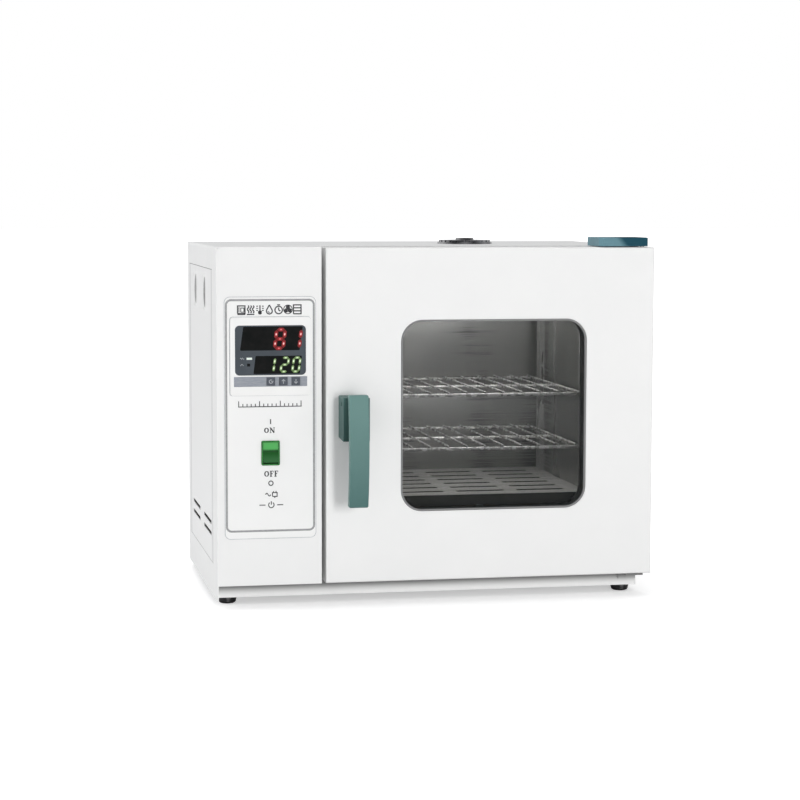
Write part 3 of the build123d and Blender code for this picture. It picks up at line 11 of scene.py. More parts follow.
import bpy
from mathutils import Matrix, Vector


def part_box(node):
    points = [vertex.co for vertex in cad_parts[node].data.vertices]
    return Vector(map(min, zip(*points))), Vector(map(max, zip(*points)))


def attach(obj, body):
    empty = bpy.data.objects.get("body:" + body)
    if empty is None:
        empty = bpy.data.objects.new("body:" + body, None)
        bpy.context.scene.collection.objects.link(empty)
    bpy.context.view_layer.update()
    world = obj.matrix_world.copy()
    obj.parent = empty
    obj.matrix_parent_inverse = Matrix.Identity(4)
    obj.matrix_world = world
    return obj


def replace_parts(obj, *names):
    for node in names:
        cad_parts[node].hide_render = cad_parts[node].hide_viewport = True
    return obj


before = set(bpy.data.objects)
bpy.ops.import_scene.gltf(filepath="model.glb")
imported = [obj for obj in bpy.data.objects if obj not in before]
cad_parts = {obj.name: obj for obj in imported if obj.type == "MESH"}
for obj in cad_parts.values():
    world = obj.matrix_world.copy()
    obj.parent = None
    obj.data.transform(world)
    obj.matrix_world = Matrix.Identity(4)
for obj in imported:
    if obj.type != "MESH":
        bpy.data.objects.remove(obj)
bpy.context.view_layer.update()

# %% Import the tools
import math

import bmesh
import bpy
import numpy as np
from mathutils import Matrix, Vector

MM = 0.001
scene = bpy.context.scene

# %% [markdown]
# ## The camera
#
# The photograph was taken with a long lens from a little to the left of the oven and a little above it.
# The front's corners, whose sizes are known, fix the eye, the aim and the focal length of a plain pinhole
# camera. A long lens keeps the upright edges nearly parallel, as they are in the photograph.

# %% Place the camera
SENSOR = 36.0
FOCAL_LENGTH = 98.92
EYE = Vector((-0.5271, -2.5832, 0.4645))
TURN = math.radians(11.127)
TILT = math.radians(-5.24)
ROLL = math.radians(0.123)

camera_data = bpy.data.cameras.new("camera")
camera_data.sensor_width = SENSOR
camera_data.lens = FOCAL_LENGTH
camera_data.clip_end = 50.0
camera = bpy.data.objects.new("camera", camera_data)
scene.collection.objects.link(camera)
aim = Vector((math.sin(TURN) * math.cos(TILT), math.cos(TURN) * math.cos(TILT), math.sin(TILT)))
turn = aim.to_track_quat("-Z", "Y").to_matrix().to_4x4()
camera.matrix_world = Matrix.Translation(EYE) @ turn @ Matrix.Rotation(ROLL, 4, "Z")
scene.camera = camera
print("camera at", [round(v, 3) for v in EYE], "lens", FOCAL_LENGTH)

# %% [markdown]
# ## Node trees
#
# The world, the floor and every finish are node trees. The helpers below add a node, set it and wire it in
# one line: what goes into a socket is either a plain value or the output of another node.


# %% Node helpers
def add_node(tree, kind, values=None, **settings):
    """Add a shader node with the given settings, and fill its sockets with plain values or outputs."""
    node = tree.nodes.new("ShaderNode" + kind)
    for key, value in settings.items():
        setattr(node, key, value)
    for socket, value in (values or {}).items():
        if isinstance(value, bpy.types.NodeSocket):
            tree.links.new(value, node.inputs[socket])
        else:
            node.inputs[socket].default_value = value
    return node


def add_math(tree, operation, *values, **settings):
    """Return the result of one sum on numbers or outputs."""
    return add_node(tree, "Math", dict(enumerate(values)), operation=operation, **settings).outputs[0]


def add_axis(tree, axis, kind="Object"):
    """Return one axis of the Object coordinates, or of the surface's normal."""
    place = add_node(tree, "TexCoord").outputs[kind]
    return add_node(tree, "SeparateXYZ", {"Vector": place}).outputs[axis]


def add_range(tree, value, low, high, to_low=0.0, to_high=1.0, curve="LINEAR"):
    """Map a value that runs from low to high onto to_low to to_high, and hold it beyond both ends."""
    limits = {"Value": value, "From Min": low, "From Max": high, "To Min": to_low, "To Max": to_high}
    return add_node(tree, "MapRange", limits, interpolation_type=curve).outputs["Result"]


def add_rise(tree, low, high):
    """Return how far up a box a point lies, from 0 at its bottom to 1 at its top."""
    return add_range(tree, add_axis(tree, "Z"), low.z, high.z)


def add_ramp(tree, factor, *stops):
    """Return a colour that runs through (place, colour) stops as the factor grows from 0 to 1."""
    node = add_node(tree, "ValToRGB", {"Fac": factor})
    elements = node.color_ramp.elements
    for element, (place, colour) in zip(elements, (stops[0], stops[-1])):
        element.position = place
        element.color = (*colour, 1.0)
    for place, colour in stops[1:-1]:
        elements.new(place).color = (*colour, 1.0)
    return node.outputs["Color"]


print("node helpers are ready")

# %% [markdown]
# ## Light
#
# The photograph has flat studio light: the front is a touch brighter than the left side, and the top is the
# darkest of the three. The world gives about half of it. Rays that come straight from the camera, or
# through the glass, see pure white, and all others see a weaker grey. A key lamp near the camera casts
# the handle's soft shadow to its left, and two large lamps lift the left side and the top. A small lamp
# under the chamber's ceiling lights the shelves, since the door's glass lets little in.

# %% Set the world
WORLD_LEVEL = 0.5
world = bpy.data.worlds.new("studio")
world.use_nodes = True
scene.world = world
tree = world.node_tree
tree.nodes.clear()
rays = add_node(tree, "LightPath").outputs
seen = add_math(tree, "ADD", rays["Is Camera Ray"], rays["Is Transmission Ray"], use_clamp=True)
lit = add_node(tree, "Background", {"Color": (0.985, 0.992, 1.0, 1.0), "Strength": WORLD_LEVEL})
white = add_node(tree, "Background", {"Color": (1.0, 1.0, 1.0, 1.0)})
choose = add_node(tree, "MixShader", {0: seen, 1: lit.outputs[0], 2: white.outputs[0]})
add_node(tree, "OutputWorld", {"Surface": choose.outputs[0]})
scene.view_settings.view_transform = "Standard"
print("world level", WORLD_LEVEL)


# %% Hang the lamps
def soft_lamp(name, place, target, size, power, colour):
    """Hang a rectangular lamp at place, aimed at target; its light spreads evenly over its size."""
    data = bpy.data.lights.new(name, "AREA")
    data.shape = "RECTANGLE"
    data.size, data.size_y = size
    data.energy = power
    data.color = colour
    lamp = bpy.data.objects.new(name, data)
    scene.collection.objects.link(lamp)
    aim = (Vector(target) - Vector(place)).to_track_quat("-Z", "Y")
    lamp.matrix_world = Matrix.Translation(place) @ aim.to_matrix().to_4x4()
    return lamp


LAMP_INSET, LAMP_DROP = 0.07, 0.006
chamber_low, chamber_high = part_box("chamber_sleeve")
chamber_x = (chamber_low.x + chamber_high.x) / 2
ceiling = (chamber_x, chamber_low.y + LAMP_INSET, chamber_high.z - LAMP_DROP)
lamps = [
    soft_lamp("key_lamp", (0.42, -2.75, 0.46), (-0.1, -0.15, 0.2), (0.36, 0.8), 31.0, (1.0, 0.997, 0.992)),
    soft_lamp("left_lamp", (-2.4, 0.0, 0.9), (-0.2, 0.0, 0.2), (1.6, 1.6), 24.0, (0.995, 0.997, 1.0)),
    soft_lamp("top_lamp", (0.0, 0.3, 2.4), (0.0, 0.0, 0.4), (1.6, 1.6), 13.5, (1.0, 1.0, 1.0)),
    soft_lamp("chamber_lamp", ceiling, (chamber_x, 0.06, 0.1), (0.2, 0.1), 1.1, (1.0, 0.99, 0.97)),
]
for lamp in lamps:
    lamp.visible_camera = False
    lamp.visible_glossy = lamp is lamps[-1]
print("lamps:", ", ".join(lamp.name for lamp in lamps))

# %% [markdown]
# ## Shapes from arrays
#
# A grid of points is a function of two parameters. The helpers below turn such a grid, or a stack of
# outlines, into a mesh without a loop over its points: the faces come from index arithmetic on whole arrays.


# %% Meshes from grids
def grid_faces(rows, columns, close_rows=False, close_columns=False):
    """Return the four corners of each cell of a grid; a closed direction joins its last line to its first."""
    r = np.arange(rows if close_rows else rows - 1)[:, None]
    c = np.arange(columns if close_columns else columns - 1)[None, :]
    r2, c2 = (r + 1) % rows, (c + 1) % columns
    corners = [r * columns + c, r * columns + c2, r2 * columns + c2, r2 * columns + c]
    return np.stack([k.ravel() for k in np.broadcast_arrays(*corners)], axis=1)


def stack_meshes(parts):
    """Join (points, faces) pairs into one pair by adding each part's first point number to its faces."""
    points, faces, first = [], [], 0
    for part_points, part_faces in parts:
        points.append(part_points)
        faces.extend((np.asarray(face) + first).tolist() for face in part_faces)
        first += len(part_points)
    return np.concatenate(points), faces


def make_piece(name, points, faces, material, body, slot, smooth=True):
    """Put points and faces into an object at the origin that rides on a CAD body."""
    mesh = bpy.data.meshes.new(name)
    mesh.from_pydata(np.asarray(points).tolist(), [], [list(face) for face in faces])
    mesh.validate()
    piece = bpy.data.objects.new(name, mesh)
    scene.collection.objects.link(piece)
    mesh.materials.append(material)
    mesh.polygons.foreach_set("use_smooth", np.full(len(mesh.polygons), smooth))
    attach(piece, body)
    print(name, "with", len(mesh.polygons), "faces")
    return piece


def merged(piece):
    """Merge points that lie on each other, and turn every face outwards."""
    work = bmesh.new()
    work.from_mesh(piece.data)
    bmesh.ops.remove_doubles(work, verts=work.verts, dist=1e-6)
    bmesh.ops.recalc_face_normals(work, faces=work.faces)
    work.to_mesh(piece.data)
    work.free()
    return piece


# %% Lathe-turned shapes
def turned(profile, centre, steps=48, axis="z"):
    """Turn (radius, height) pairs about an axis through centre.

    At angle t a point is (r cos t, r sin t, h). A radius of zero at either end closes the shape in a fan of
    triangles, and any other gets a flat end face.
    """
    profile = np.asarray(profile, float)
    t = np.arange(steps) * 2 * np.pi / steps
    r = np.repeat(profile[:, :1], steps, axis=1)
    h = np.repeat(profile[:, 1:], steps, axis=1)
    points = np.stack([r * np.cos(t), r * np.sin(t), h], axis=2).reshape(-1, 3)
    faces = grid_faces(len(profile), steps, close_columns=True).tolist()
    if profile[0, 0] > 0:
        faces.append(list(range(steps - 1, -1, -1)))
    if profile[-1, 0] > 0:
        last = (len(profile) - 1) * steps
        faces.append(list(range(last, last + steps)))
    if axis == "x":
        points = points[:, [2, 0, 1]]
    elif axis == "y":
        points = points[:, [1, 2, 0]]
    return points + np.asarray(centre, float), faces


# %% Profiles carried round a window-shaped path
def round_rectangle(centre_x, centre_z, width, height, radius, corner_steps):
    """Return points and outward directions around a rectangle with round corners, in the XZ plane.

    Each corner is a quarter circle: its centre is the rectangle's corner moved in by the radius, and the
    outward direction at angle t is (cos t, sin t).
    """
    quarter = np.linspace(0, np.pi / 2, corner_steps)
    t = np.concatenate([quarter + k * np.pi / 2 for k in range(4)])
    side_x = np.repeat([1, -1, -1, 1], corner_steps)
    side_z = np.repeat([1, 1, -1, -1], corner_steps)
    out = np.stack([np.cos(t), np.sin(t)], axis=1)
    middle = np.stack([side_x * (width / 2 - radius), side_z * (height / 2 - radius)], axis=1)
    return np.array([centre_x, centre_z]) + middle + radius * out, out


def round_box(low, high, grow, radius, corner_steps, across="x"):
    """Return a round rectangle on a box's outline, as wide and high as the box and grow together."""
    left, right = getattr(low, across), getattr(high, across)
    size = right - left + grow, high.z - low.z + grow
    return round_rectangle((left + right) / 2, (low.z + high.z) / 2, *size, radius, corner_steps)


def carried(path, out, profile):
    """Carry a closed profile of (outward, y) pairs round a closed path in the XZ plane."""
    profile = np.asarray(profile, float)
    across = path[:, None, :] + out[:, None, :] * profile[None, :, :1]
    depth = np.repeat(profile[None, :, 1], len(path), axis=0)
    points = np.stack([across[..., 0], depth, across[..., 1]], axis=2).reshape(-1, 3)
    return points, grid_faces(len(path), len(profile), close_rows=True, close_columns=True)


# %% Thin printed or moulded plates
def plate(outline, front, back):
    """Make a flat plate from an outline of (x, z) pairs: two faces and a wall between them."""
    outline = np.asarray(outline, float)
    count = len(outline)
    ends = [np.insert(outline, 1, y, axis=1) for y in (front, back)]
    walls = grid_faces(2, count, close_columns=True).tolist()
    return np.concatenate(ends), walls + [list(range(count)), list(range(2 * count - 1, count - 1, -1))]


def stroke(points, width):
    """Turn a line of (x, z) pairs into an outline with mitred corners.

    The width is one number, or one for each point. Each point moves along the mean of its two neighbours'
    normals, by half the width divided by the cosine of half the turn, which keeps the two sides parallel to
    the line. The cosine is held above 0.35, so that a sharp corner doesn't grow a spike.
    """
    line = np.asarray(points, float)
    along = np.diff(line, axis=0)
    along /= np.linalg.norm(along, axis=1)[:, None]
    normal = np.stack([-along[:, 1], along[:, 0]], axis=1)
    mean = np.concatenate([normal[:1], normal[:-1] + normal[1:], normal[-1:]])
    mean /= np.linalg.norm(mean, axis=1)[:, None]
    reach = np.sum(mean * np.concatenate([normal[:1], normal]), axis=1)
    shift = mean * (np.asarray(width) / 2 / np.maximum(reach, 0.35))[:, None]
    return np.concatenate([line + shift, (line - shift)[::-1]])


print("shape helpers are ready")

# %% [markdown]
# ## Finishes
#
# Each finish is a small node tree on a Principled shader. Values that are the same all over a surface are
# set on the shader's own sockets; noise on Object coordinates then varies colour, roughness and height at
# the scale of the real texture. Object coordinates stay with the piece when it moves, because every object
# sits at the origin.


# %% Shader helpers
def finish(name, colour, roughness, metallic=0.0, **uniform):
    """Start a material: a Principled shader with plain values on its sockets."""
    material = bpy.data.materials.new(name)
    material.use_nodes = True
    shader = material.node_tree.nodes["Principled BSDF"]
    shader.inputs["Base Color"].default_value = (*colour, 1.0)
    shader.inputs["Roughness"].default_value = roughness
    shader.inputs["Metallic"].default_value = metallic
    for socket, value in uniform.items():
        shader.inputs[socket.replace("_", " ")].default_value = value
    return material


def drive(material, socket, value):
    """Wire an output into one of the shader's sockets."""
    tree = material.node_tree
    tree.links.new(value, tree.nodes["Principled BSDF"].inputs[socket])


def noise(material, scale, detail=3.0, stretch=(1.0, 1.0, 1.0)):
    """Add noise on Object coordinates; stretch multiplies each axis, so that marks can run one way."""
    tree = material.node_tree
    place = add_node(tree, "TexCoord").outputs["Object"]
    stretched = add_node(tree, "Mapping", {"Vector": place, "Scale": stretch}).outputs["Vector"]
    return add_node(tree, "TexNoise", {"Vector": stretched, "Scale": scale, "Detail": detail}).outputs["Fac"]


# %% Colour, roughness and height from patterns
def shades(material, factor, dark, light, low=0.35, high=0.65, socket="Base Color"):
    """Drive a socket between two values, as the factor runs from low to high."""
    if socket == "Base Color":
        value = add_ramp(material.node_tree, factor, (low, dark), (high, light))
    else:
        value = add_range(material.node_tree, factor, low, high, dark, light)
    drive(material, socket, value)


def relief(material, height, depth, strength):
    """Let a height pattern of the given depth in metres tilt the surface's normals."""
    values = {"Height": height, "Distance": depth, "Strength": strength}
    drive(material, "Normal", add_node(material.node_tree, "Bump", values).outputs["Normal"])


def under_shade(material, share, shade, clamp=True):
    """Lay a flat painted shade on the colour so far: all shade where the share is 0, and none where it is 1.
    """
    tree = material.node_tree
    colour = tree.nodes["Principled BSDF"].inputs["Base Color"].links[0].from_socket
    values = {0: share, 6: (*shade, 1.0), 7: colour}
    mix = add_node(tree, "Mix", values, data_type="RGBA", clamp_factor=clamp)
    drive(material, "Base Color", mix.outputs[2])


# %% Finishes that noise varies
def varied(name, colour, roughness, metallic=0.0, patches=None, gloss=None, grain=None, **uniform):
    """Make a finish whose colour, roughness and height follow noise.

    Each of the three starts with its noise: a scale, or a scale, a detail and a stretch. Patches then give
    a dark and a light colour, gloss a low and a high roughness, and grain a depth and a strength.
    """
    material = finish(name, colour, roughness, metallic, **uniform)

    def pattern(noise_values):
        return noise(material, *(noise_values if isinstance(noise_values, tuple) else (noise_values,)))

    if patches:
        shades(material, pattern(patches[0]), *patches[1:])
    if gloss:
        shades(material, pattern(gloss[0]), *gloss[1:], socket="Roughness")
    if grain:
        relief(material, pattern(grain[0]), *grain[1:])
    return material


print("shader helpers are ready")

# %% [markdown]
# ### Powder coat
#
# Powder coat is plastic powder that is sprayed on steel and baked. It dries to a satin skin with a faint
# orange peel, which shows as a soft break-up of reflections and not as a colour. So its colour varies by
# about one per cent over some centimetres, and a fine noise of about a millimetre tilts the normals.
#
# Two pieces carry painted shade, a soft shade that the lamps alone don't give. The access panel is greyer
# along its front and rear edges. The strip under the door is grey right under the door's edge, and fades to
# unshaded coat some 17 millimetres lower; the hinge bracket beside it has the same coat and painted shade.

# %% White powder coat
COAT = (0.86, 0.86, 0.857)
COAT_PATCHES = (14.0, (0.852, 0.853, 0.85), (0.868, 0.868, 0.864))
ORANGE_PEEL = ((620.0, 2.0), 0.00006, 0.35)
powder_coat = varied("powder_coat", COAT, 0.42, 0.0, COAT_PATCHES, (60.0, 0.38, 0.47), ORANGE_PEEL)
print("coat:", powder_coat.name)

# %% White powder coat of the access panel, with painted shade along its front and rear edges
PANEL_SHADE = (0.66, 0.66, 0.66)
SHADE_INNER, SHADE_OUTER = 0.022, 0.01
panel_low, panel_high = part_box("access_panel")
half_panel = (panel_high.y - panel_low.y) / 2
panel_coat = varied("panel_coat", COAT, 0.42, grain=ORANGE_PEEL)
tree = panel_coat.node_tree
from_middle = add_math(tree, "SUBTRACT", add_axis(tree, "Y"), (panel_low.y + panel_high.y) / 2)
distance = add_math(tree, "ABSOLUTE", from_middle)
# Painted shade: the coat greys towards the panel's front and rear edges.
shades(panel_coat, distance, COAT, PANEL_SHADE, half_panel - SHADE_INNER, half_panel - SHADE_OUTER)
print("coat:", panel_coat.name, "shaded from", round(half_panel - SHADE_INNER, 4), "metres off its middle")

# %% White powder coat of the front frame, with painted shade under the door
STRIP_SHADE = (0.2, 0.2, 0.2)
STRIP_DARK, STRIP_UNSHADED, STRIP_FADE, SEAM = 0.0045, 0.0175, 1.2, 0.001
strip_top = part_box("door_outer_skin")[0].z
frame_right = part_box("front_frame")[1].x
frame_coat = varied("frame_coat", COAT, 0.45, patches=COAT_PATCHES, grain=ORANGE_PEEL)
tree = frame_coat.node_tree
height = add_axis(tree, "Z")
# Painted shade: the colour is grey just below the door's bottom edge and fades to unshaded coat lower down;
# above the door's edge and beyond the frame's right side it stays unshaded.
dark_z, unshaded_z = strip_top - STRIP_DARK, strip_top - STRIP_UNSHADED
below = add_range(tree, height, dark_z, unshaded_z, 0.0, STRIP_FADE, "SMOOTHSTEP")
above = add_range(tree, height, strip_top + SEAM, strip_top + 10 * SEAM, curve="SMOOTHERSTEP")
beside = add_range(tree, add_axis(tree, "X"), frame_right - SEAM, frame_right + SEAM)
unshaded = add_math(tree, "MAXIMUM", add_math(tree, "MAXIMUM", below, above), beside)
under_shade(frame_coat, unshaded, STRIP_SHADE, clamp=False)
print("coat:", frame_coat.name, "shaded under", round(strip_top, 4))

# %% [markdown]
# ### Stainless and other bare metals
#
# The chamber is brushed stainless: long fine scratches that run one way, so the noise is squeezed across
# the scratches and stretched along them. Galvanised sheet shows spangle, a patchwork of zinc crystals,
# which a Voronoi pattern gives. Wire is chrome plated, with only a trace of haze.
#
# The slotted floor is pale on top and has painted shade on its upright faces, the cut edges of its slots,
# which the normal's upward part tells apart. The vent's chrome carries a painted reflection of a dark room in
# front and a bright one behind, in blurred patches: its colour follows the way the surface faces, with some
# noise.

# %% Chamber metals
scratches = (90.0, 6.0, (0.05, 0.05, 12.0))
brushed_stainless = varied(
    "brushed_stainless", (0.33, 0.33, 0.325), 0.34, 1.0,
    gloss=((25.0, 4.0, (1.0, 1.0, 0.25)), 0.26, 0.42), grain=(scratches, 0.00004, 0.3),
)
wide_bands = noise(brushed_stainless, 9.0, 2.0, (1.6, 1.6, 0.35))
bands = add_math(
    brushed_stainless.node_tree, "MULTIPLY_ADD", wide_bands, 1.3, noise(brushed_stainless, *scratches)
)
shades(brushed_stainless, bands, (0.22, 0.22, 0.218), (0.46, 0.46, 0.45), 0.84, 1.0)

floor_stainless = varied(
    "floor_stainless", (0.7, 0.69, 0.67), 0.45, 0.2,
    patches=((30.0, 6.0, (0.12, 4.0, 1.0)), (0.6, 0.59, 0.57), (0.9, 0.89, 0.86)), gloss=(18.0, 0.36, 0.5),
)
tree = floor_stainless.node_tree
# Painted shade: upright faces, the walls of the slots, are darkened in the colour.
upright = add_math(tree, "ABSOLUTE", add_axis(tree, "Z", "Normal"))
under_shade(floor_stainless, add_range(tree, upright, 0.3, 0.8), (0.035, 0.033, 0.03))

rack_steel = varied(
    "rack_steel", (0.6, 0.6, 0.59), 0.32, 0.7, gloss=((60.0, 5.0, (1.0, 1.0, 0.2)), 0.24, 0.4)
)
bright_chrome = varied(
    "bright_chrome", (0.8, 0.8, 0.79), 0.3, 0.5,
    gloss=((180.0, 5.0), 0.2, 0.34), grain=((900.0, 2.0), 0.00001, 0.1),
)
heater_steel = varied(
    "heater_steel", (0.12, 0.105, 0.095), 0.5, 1.0, patches=(45.0, (0.07, 0.06, 0.06), (0.2, 0.16, 0.13))
)

print("chamber metals are ready")

# %% Vent, sheet and fastener metals
chrome_painted_reflection = varied("chrome_painted_reflection", (0.3, 0.3, 0.31), 0.26, 1.0, gloss=(300.0, 0.2, 0.34))
tree = chrome_painted_reflection.node_tree
# Painted reflection: the colour is dark where the surface faces the front and pale elsewhere, in noisy
# patches.
patchy = add_math(tree, "MULTIPLY_ADD", noise(chrome_painted_reflection, 55.0, 1.0, (1.0, 1.0, 3.0)), 1.1, -0.55)
forward = add_math(tree, "MULTIPLY_ADD", add_axis(tree, "Y", "Normal"), -1.0, patchy)
shades(chrome_painted_reflection, forward, (0.55, 0.55, 0.56), (0.06, 0.06, 0.065), 0.45, 0.95)

galvanised = finish("galvanised", (0.45, 0.46, 0.47), 0.42, 1.0)
tree = galvanised.node_tree
place = add_node(tree, "TexCoord").outputs["Object"]
spangle = add_node(tree, "TexVoronoi", {"Vector": place, "Scale": 120.0}).outputs["Distance"]
shades(galvanised, spangle, (0.34, 0.35, 0.36), (0.56, 0.57, 0.58), 0.1, 0.6)

zinc_screw = varied("zinc_screw", (0.55, 0.55, 0.54), 0.3, 1.0, gloss=((900.0, 4.0), 0.22, 0.42))
brass = varied("brass", (0.6, 0.42, 0.17), 0.3, 1.0, gloss=(300.0, 0.25, 0.4))
cast_aluminium = varied("cast_aluminium", (0.6, 0.61, 0.62), 0.4, 1.0, gloss=(200.0, 0.32, 0.5))
print("vent, sheet and fastener metals are ready")

# %% [markdown]
# ### Plastics and rubber
#
# The handle is moulded in a grey green, with the faint grain of a spark-eroded mould. Its lever and its
# block are paler at the top than at the bottom, which is painted light, and the block is a darker copy of the
# lever's plastic, which is painted shade. The cap over the hinge is a blue green with a painted sheen that
# makes its left paler, and is dark on its right. The feet are black rubber, with a painted highlight down the
# front.
# The window's edge is a dark grey rubber section, the spacer between its panes is dark grey metal, and the
# louvres' mouths are sheets of grey painted shade.

# %% Handle and cap
MOULD_GRAIN = ((1500.0, 2.0), 0.00003, 0.4)
handle_plastic = varied(
    "handle_plastic", (0.093, 0.205, 0.19), 0.42,
    gloss=(260.0, 0.34, 0.48), grain=MOULD_GRAIN, Specular_IOR_Level=0.4,
)
tree = handle_plastic.node_tree
# Painted light: the lever's colour is paler towards its top.
painted_light_rise = add_rise(tree, *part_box("handle_lever"))
mottled = add_math(tree, "MULTIPLY_ADD", noise(handle_plastic, 40.0), 0.25, painted_light_rise)
shades(handle_plastic, mottled, (0.071, 0.158, 0.15), (0.138, 0.255, 0.239), 0.12, 1.0)

# Painted shade: the block is a darker copy of the lever's plastic, and its colour is paler towards its top,
# painted light.
block_plastic_painted_shade = varied("block_plastic_painted_shade", (0.055, 0.125, 0.115), 0.5, grain=MOULD_GRAIN, Specular_IOR_Level=0.3)
painted_light_rise = add_rise(block_plastic_painted_shade.node_tree, *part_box("handle_block"))
shades(block_plastic_painted_shade, painted_light_rise, (0.042, 0.1, 0.092), (0.078, 0.16, 0.148), 0.0, 1.0)

CAP_LEAN, CAP_HEIGHT, PAINTED_SHEEN_X, DARK_X = 0.8, 0.415, 0.176, 0.247
cap_plastic = varied(
    "cap_plastic", (0.03, 0.115, 0.165), 0.42, grain=((1100.0, 2.0), 0.00002, 0.3), Specular_IOR_Level=0.3
)
tree = cap_plastic.node_tree
# Painted sheen: left of a slanted line the cap's colour is paler, standing in for a reflection.
leaning = add_math(tree, "MULTIPLY_ADD", add_axis(tree, "Z"), CAP_LEAN, add_axis(tree, "X"))
painted_sheen = add_range(tree, leaning, PAINTED_SHEEN_X + CAP_LEAN * CAP_HEIGHT, DARK_X + CAP_LEAN * CAP_HEIGHT)
shades(cap_plastic, painted_sheen, (0.125, 0.25, 0.295), (0.006, 0.06, 0.09), 0.5, 0.62)
print("handle and cap finishes are ready")

# %% Rubber, film and small mouldings
foot_rubber = varied(
    "foot_rubber", (0.012, 0.012, 0.013), 0.3, gloss=(150.0, 0.24, 0.42), grain=(800.0, 0.00004, 0.4)
)
tree = foot_rubber.node_tree
# Painted highlight: faces that look to the front are lighter, a streak down each foot's front.
forward = add_math(tree, "MULTIPLY", add_axis(tree, "Y", "Normal"), -1.0)
shades(foot_rubber, forward, (0.008, 0.008, 0.009), (0.15, 0.15, 0.152), 0.95, 1.0)

edge_rubber_and_seam_shade = varied("edge_rubber_and_seam_shade", (0.24, 0.24, 0.242), 0.55, gloss=(200.0, 0.48, 0.66))
opening_painted_shade = varied(
    "opening_painted_shade", (0.4, 0.4, 0.4), 0.9, patches=(150.0, (0.36, 0.36, 0.36), (0.44, 0.44, 0.44))
)
spacer_grey = varied(
    "spacer_grey", (0.07, 0.07, 0.07), 0.4, 0.6, patches=(60.0, (0.055, 0.055, 0.055), (0.09, 0.09, 0.09))
)
gasket_rubber = varied(
    "gasket_rubber", (0.42, 0.075, 0.045), 0.5,
    patches=(90.0, (0.37, 0.064, 0.038), (0.46, 0.088, 0.055)), grain=(700.0, 0.00004, 0.4),
)
label_film = varied(
    "label_film", (0.875, 0.875, 0.872), 0.32,
    patches=(20.0, (0.868, 0.868, 0.864), (0.884, 0.884, 0.88)), grain=((1400.0, 2.0), 0.00003, 0.3),
)
bezel_plastic = varied(
    "bezel_plastic", (0.88, 0.88, 0.872), 0.3,
    patches=(30.0, (0.87, 0.87, 0.86), (0.89, 0.89, 0.884)), grain=((1200.0, 2.0), 0.00003, 0.3),
)
print("rubbers, films and mouldings are ready")

# %% [markdown]
# ### The display and its keys
#
# A slate-grey window covers two black displays. The keys are silicone under a printed film, a little
# darker than the lilac-grey strip around them. Print is a thin, nearly matte ink.

# %% Display finishes
slate = varied(
    "slate", (0.058, 0.07, 0.083), 0.3,
    patches=(50.0, (0.053, 0.064, 0.076), (0.064, 0.077, 0.092)), Specular_IOR_Level=0.35,
)
display_black = varied(
    "display_black", (0.005, 0.005, 0.005), 0.3,
    patches=(120.0, (0.003, 0.004, 0.004), (0.007, 0.007, 0.007)), Specular_IOR_Level=0.12,
)
strip_film = varied(
    "strip_film", (0.29, 0.31, 0.35), 0.35,
    patches=((900.0, 2.0, (0.2, 1.0, 3.0)), (0.26, 0.28, 0.32), (0.33, 0.35, 0.39)),
)
key_rubber = varied(
    "key_rubber", (0.08, 0.09, 0.11), 0.45, patches=(400.0, (0.07, 0.08, 0.098), (0.09, 0.1, 0.124))
)
grey_ink = varied(
    "grey_ink", (0.33, 0.335, 0.34), 0.5, patches=(300.0, (0.3, 0.305, 0.31), (0.36, 0.365, 0.37))
)
black_ink = varied(
    "black_ink", (0.045, 0.045, 0.05), 0.5, patches=(500.0, (0.035, 0.035, 0.04), (0.06, 0.06, 0.065))
)
pale_ink_and_painted_shade = varied("pale_ink_and_painted_shade", (0.45, 0.47, 0.5), 0.5, patches=(500.0, (0.4, 0.42, 0.45), (0.5, 0.52, 0.55)))
print("window, strip, key and ink finishes are ready")

# %% [markdown]
# ### Lit segments
#
# A segment glows from a small lamp behind its middle, so it is palest there and deeper in colour towards
# its ends. Each digit piece has a UV map in which V is 1 at a segment's middle line and 0 at its edge, and
# a ramp on V runs from the edge colour to the hot core.


# %% Glowing finishes
def glow(name, edge, middle, core, strength):
    """Make a light-giving finish that runs from edge through middle to core as the UV map's V grows."""
    material = finish(name, edge, 0.4, Emission_Strength=strength)
    tree = material.node_tree
    uv = add_node(tree, "UVMap", uv_map="glow").outputs["UV"]
    v = add_node(tree, "SeparateXYZ", {"Vector": uv}).outputs["Y"]
    stops = ((0.0, edge), (0.35, edge), (0.74, middle), (1.0, core))
    drive(material, "Emission Color", add_ramp(tree, v, *stops))
    return material


red_glow = glow("red_glow", (0.1, 0.003, 0.004), (0.42, 0.022, 0.026), (1.0, 0.86, 0.84), 1.0)
green_glow = glow("green_glow", (0.07, 0.12, 0.04), (0.56, 0.66, 0.42), (0.97, 1.0, 0.92), 1.0)
lamp_glow = glow("lamp_glow", (0.3, 0.33, 0.3), (0.5, 0.54, 0.5), (0.62, 0.66, 0.62), 0.9)
print("glowing finishes:", red_glow.name, green_glow.name, lamp_glow.name)

# %% [markdown]
# ### The rocker
#
# The switch is clear green plastic with a lamp under its upper half. The upper half is therefore lighter,
# which a ramp on the height within the piece gives, and it has a glossy skin.

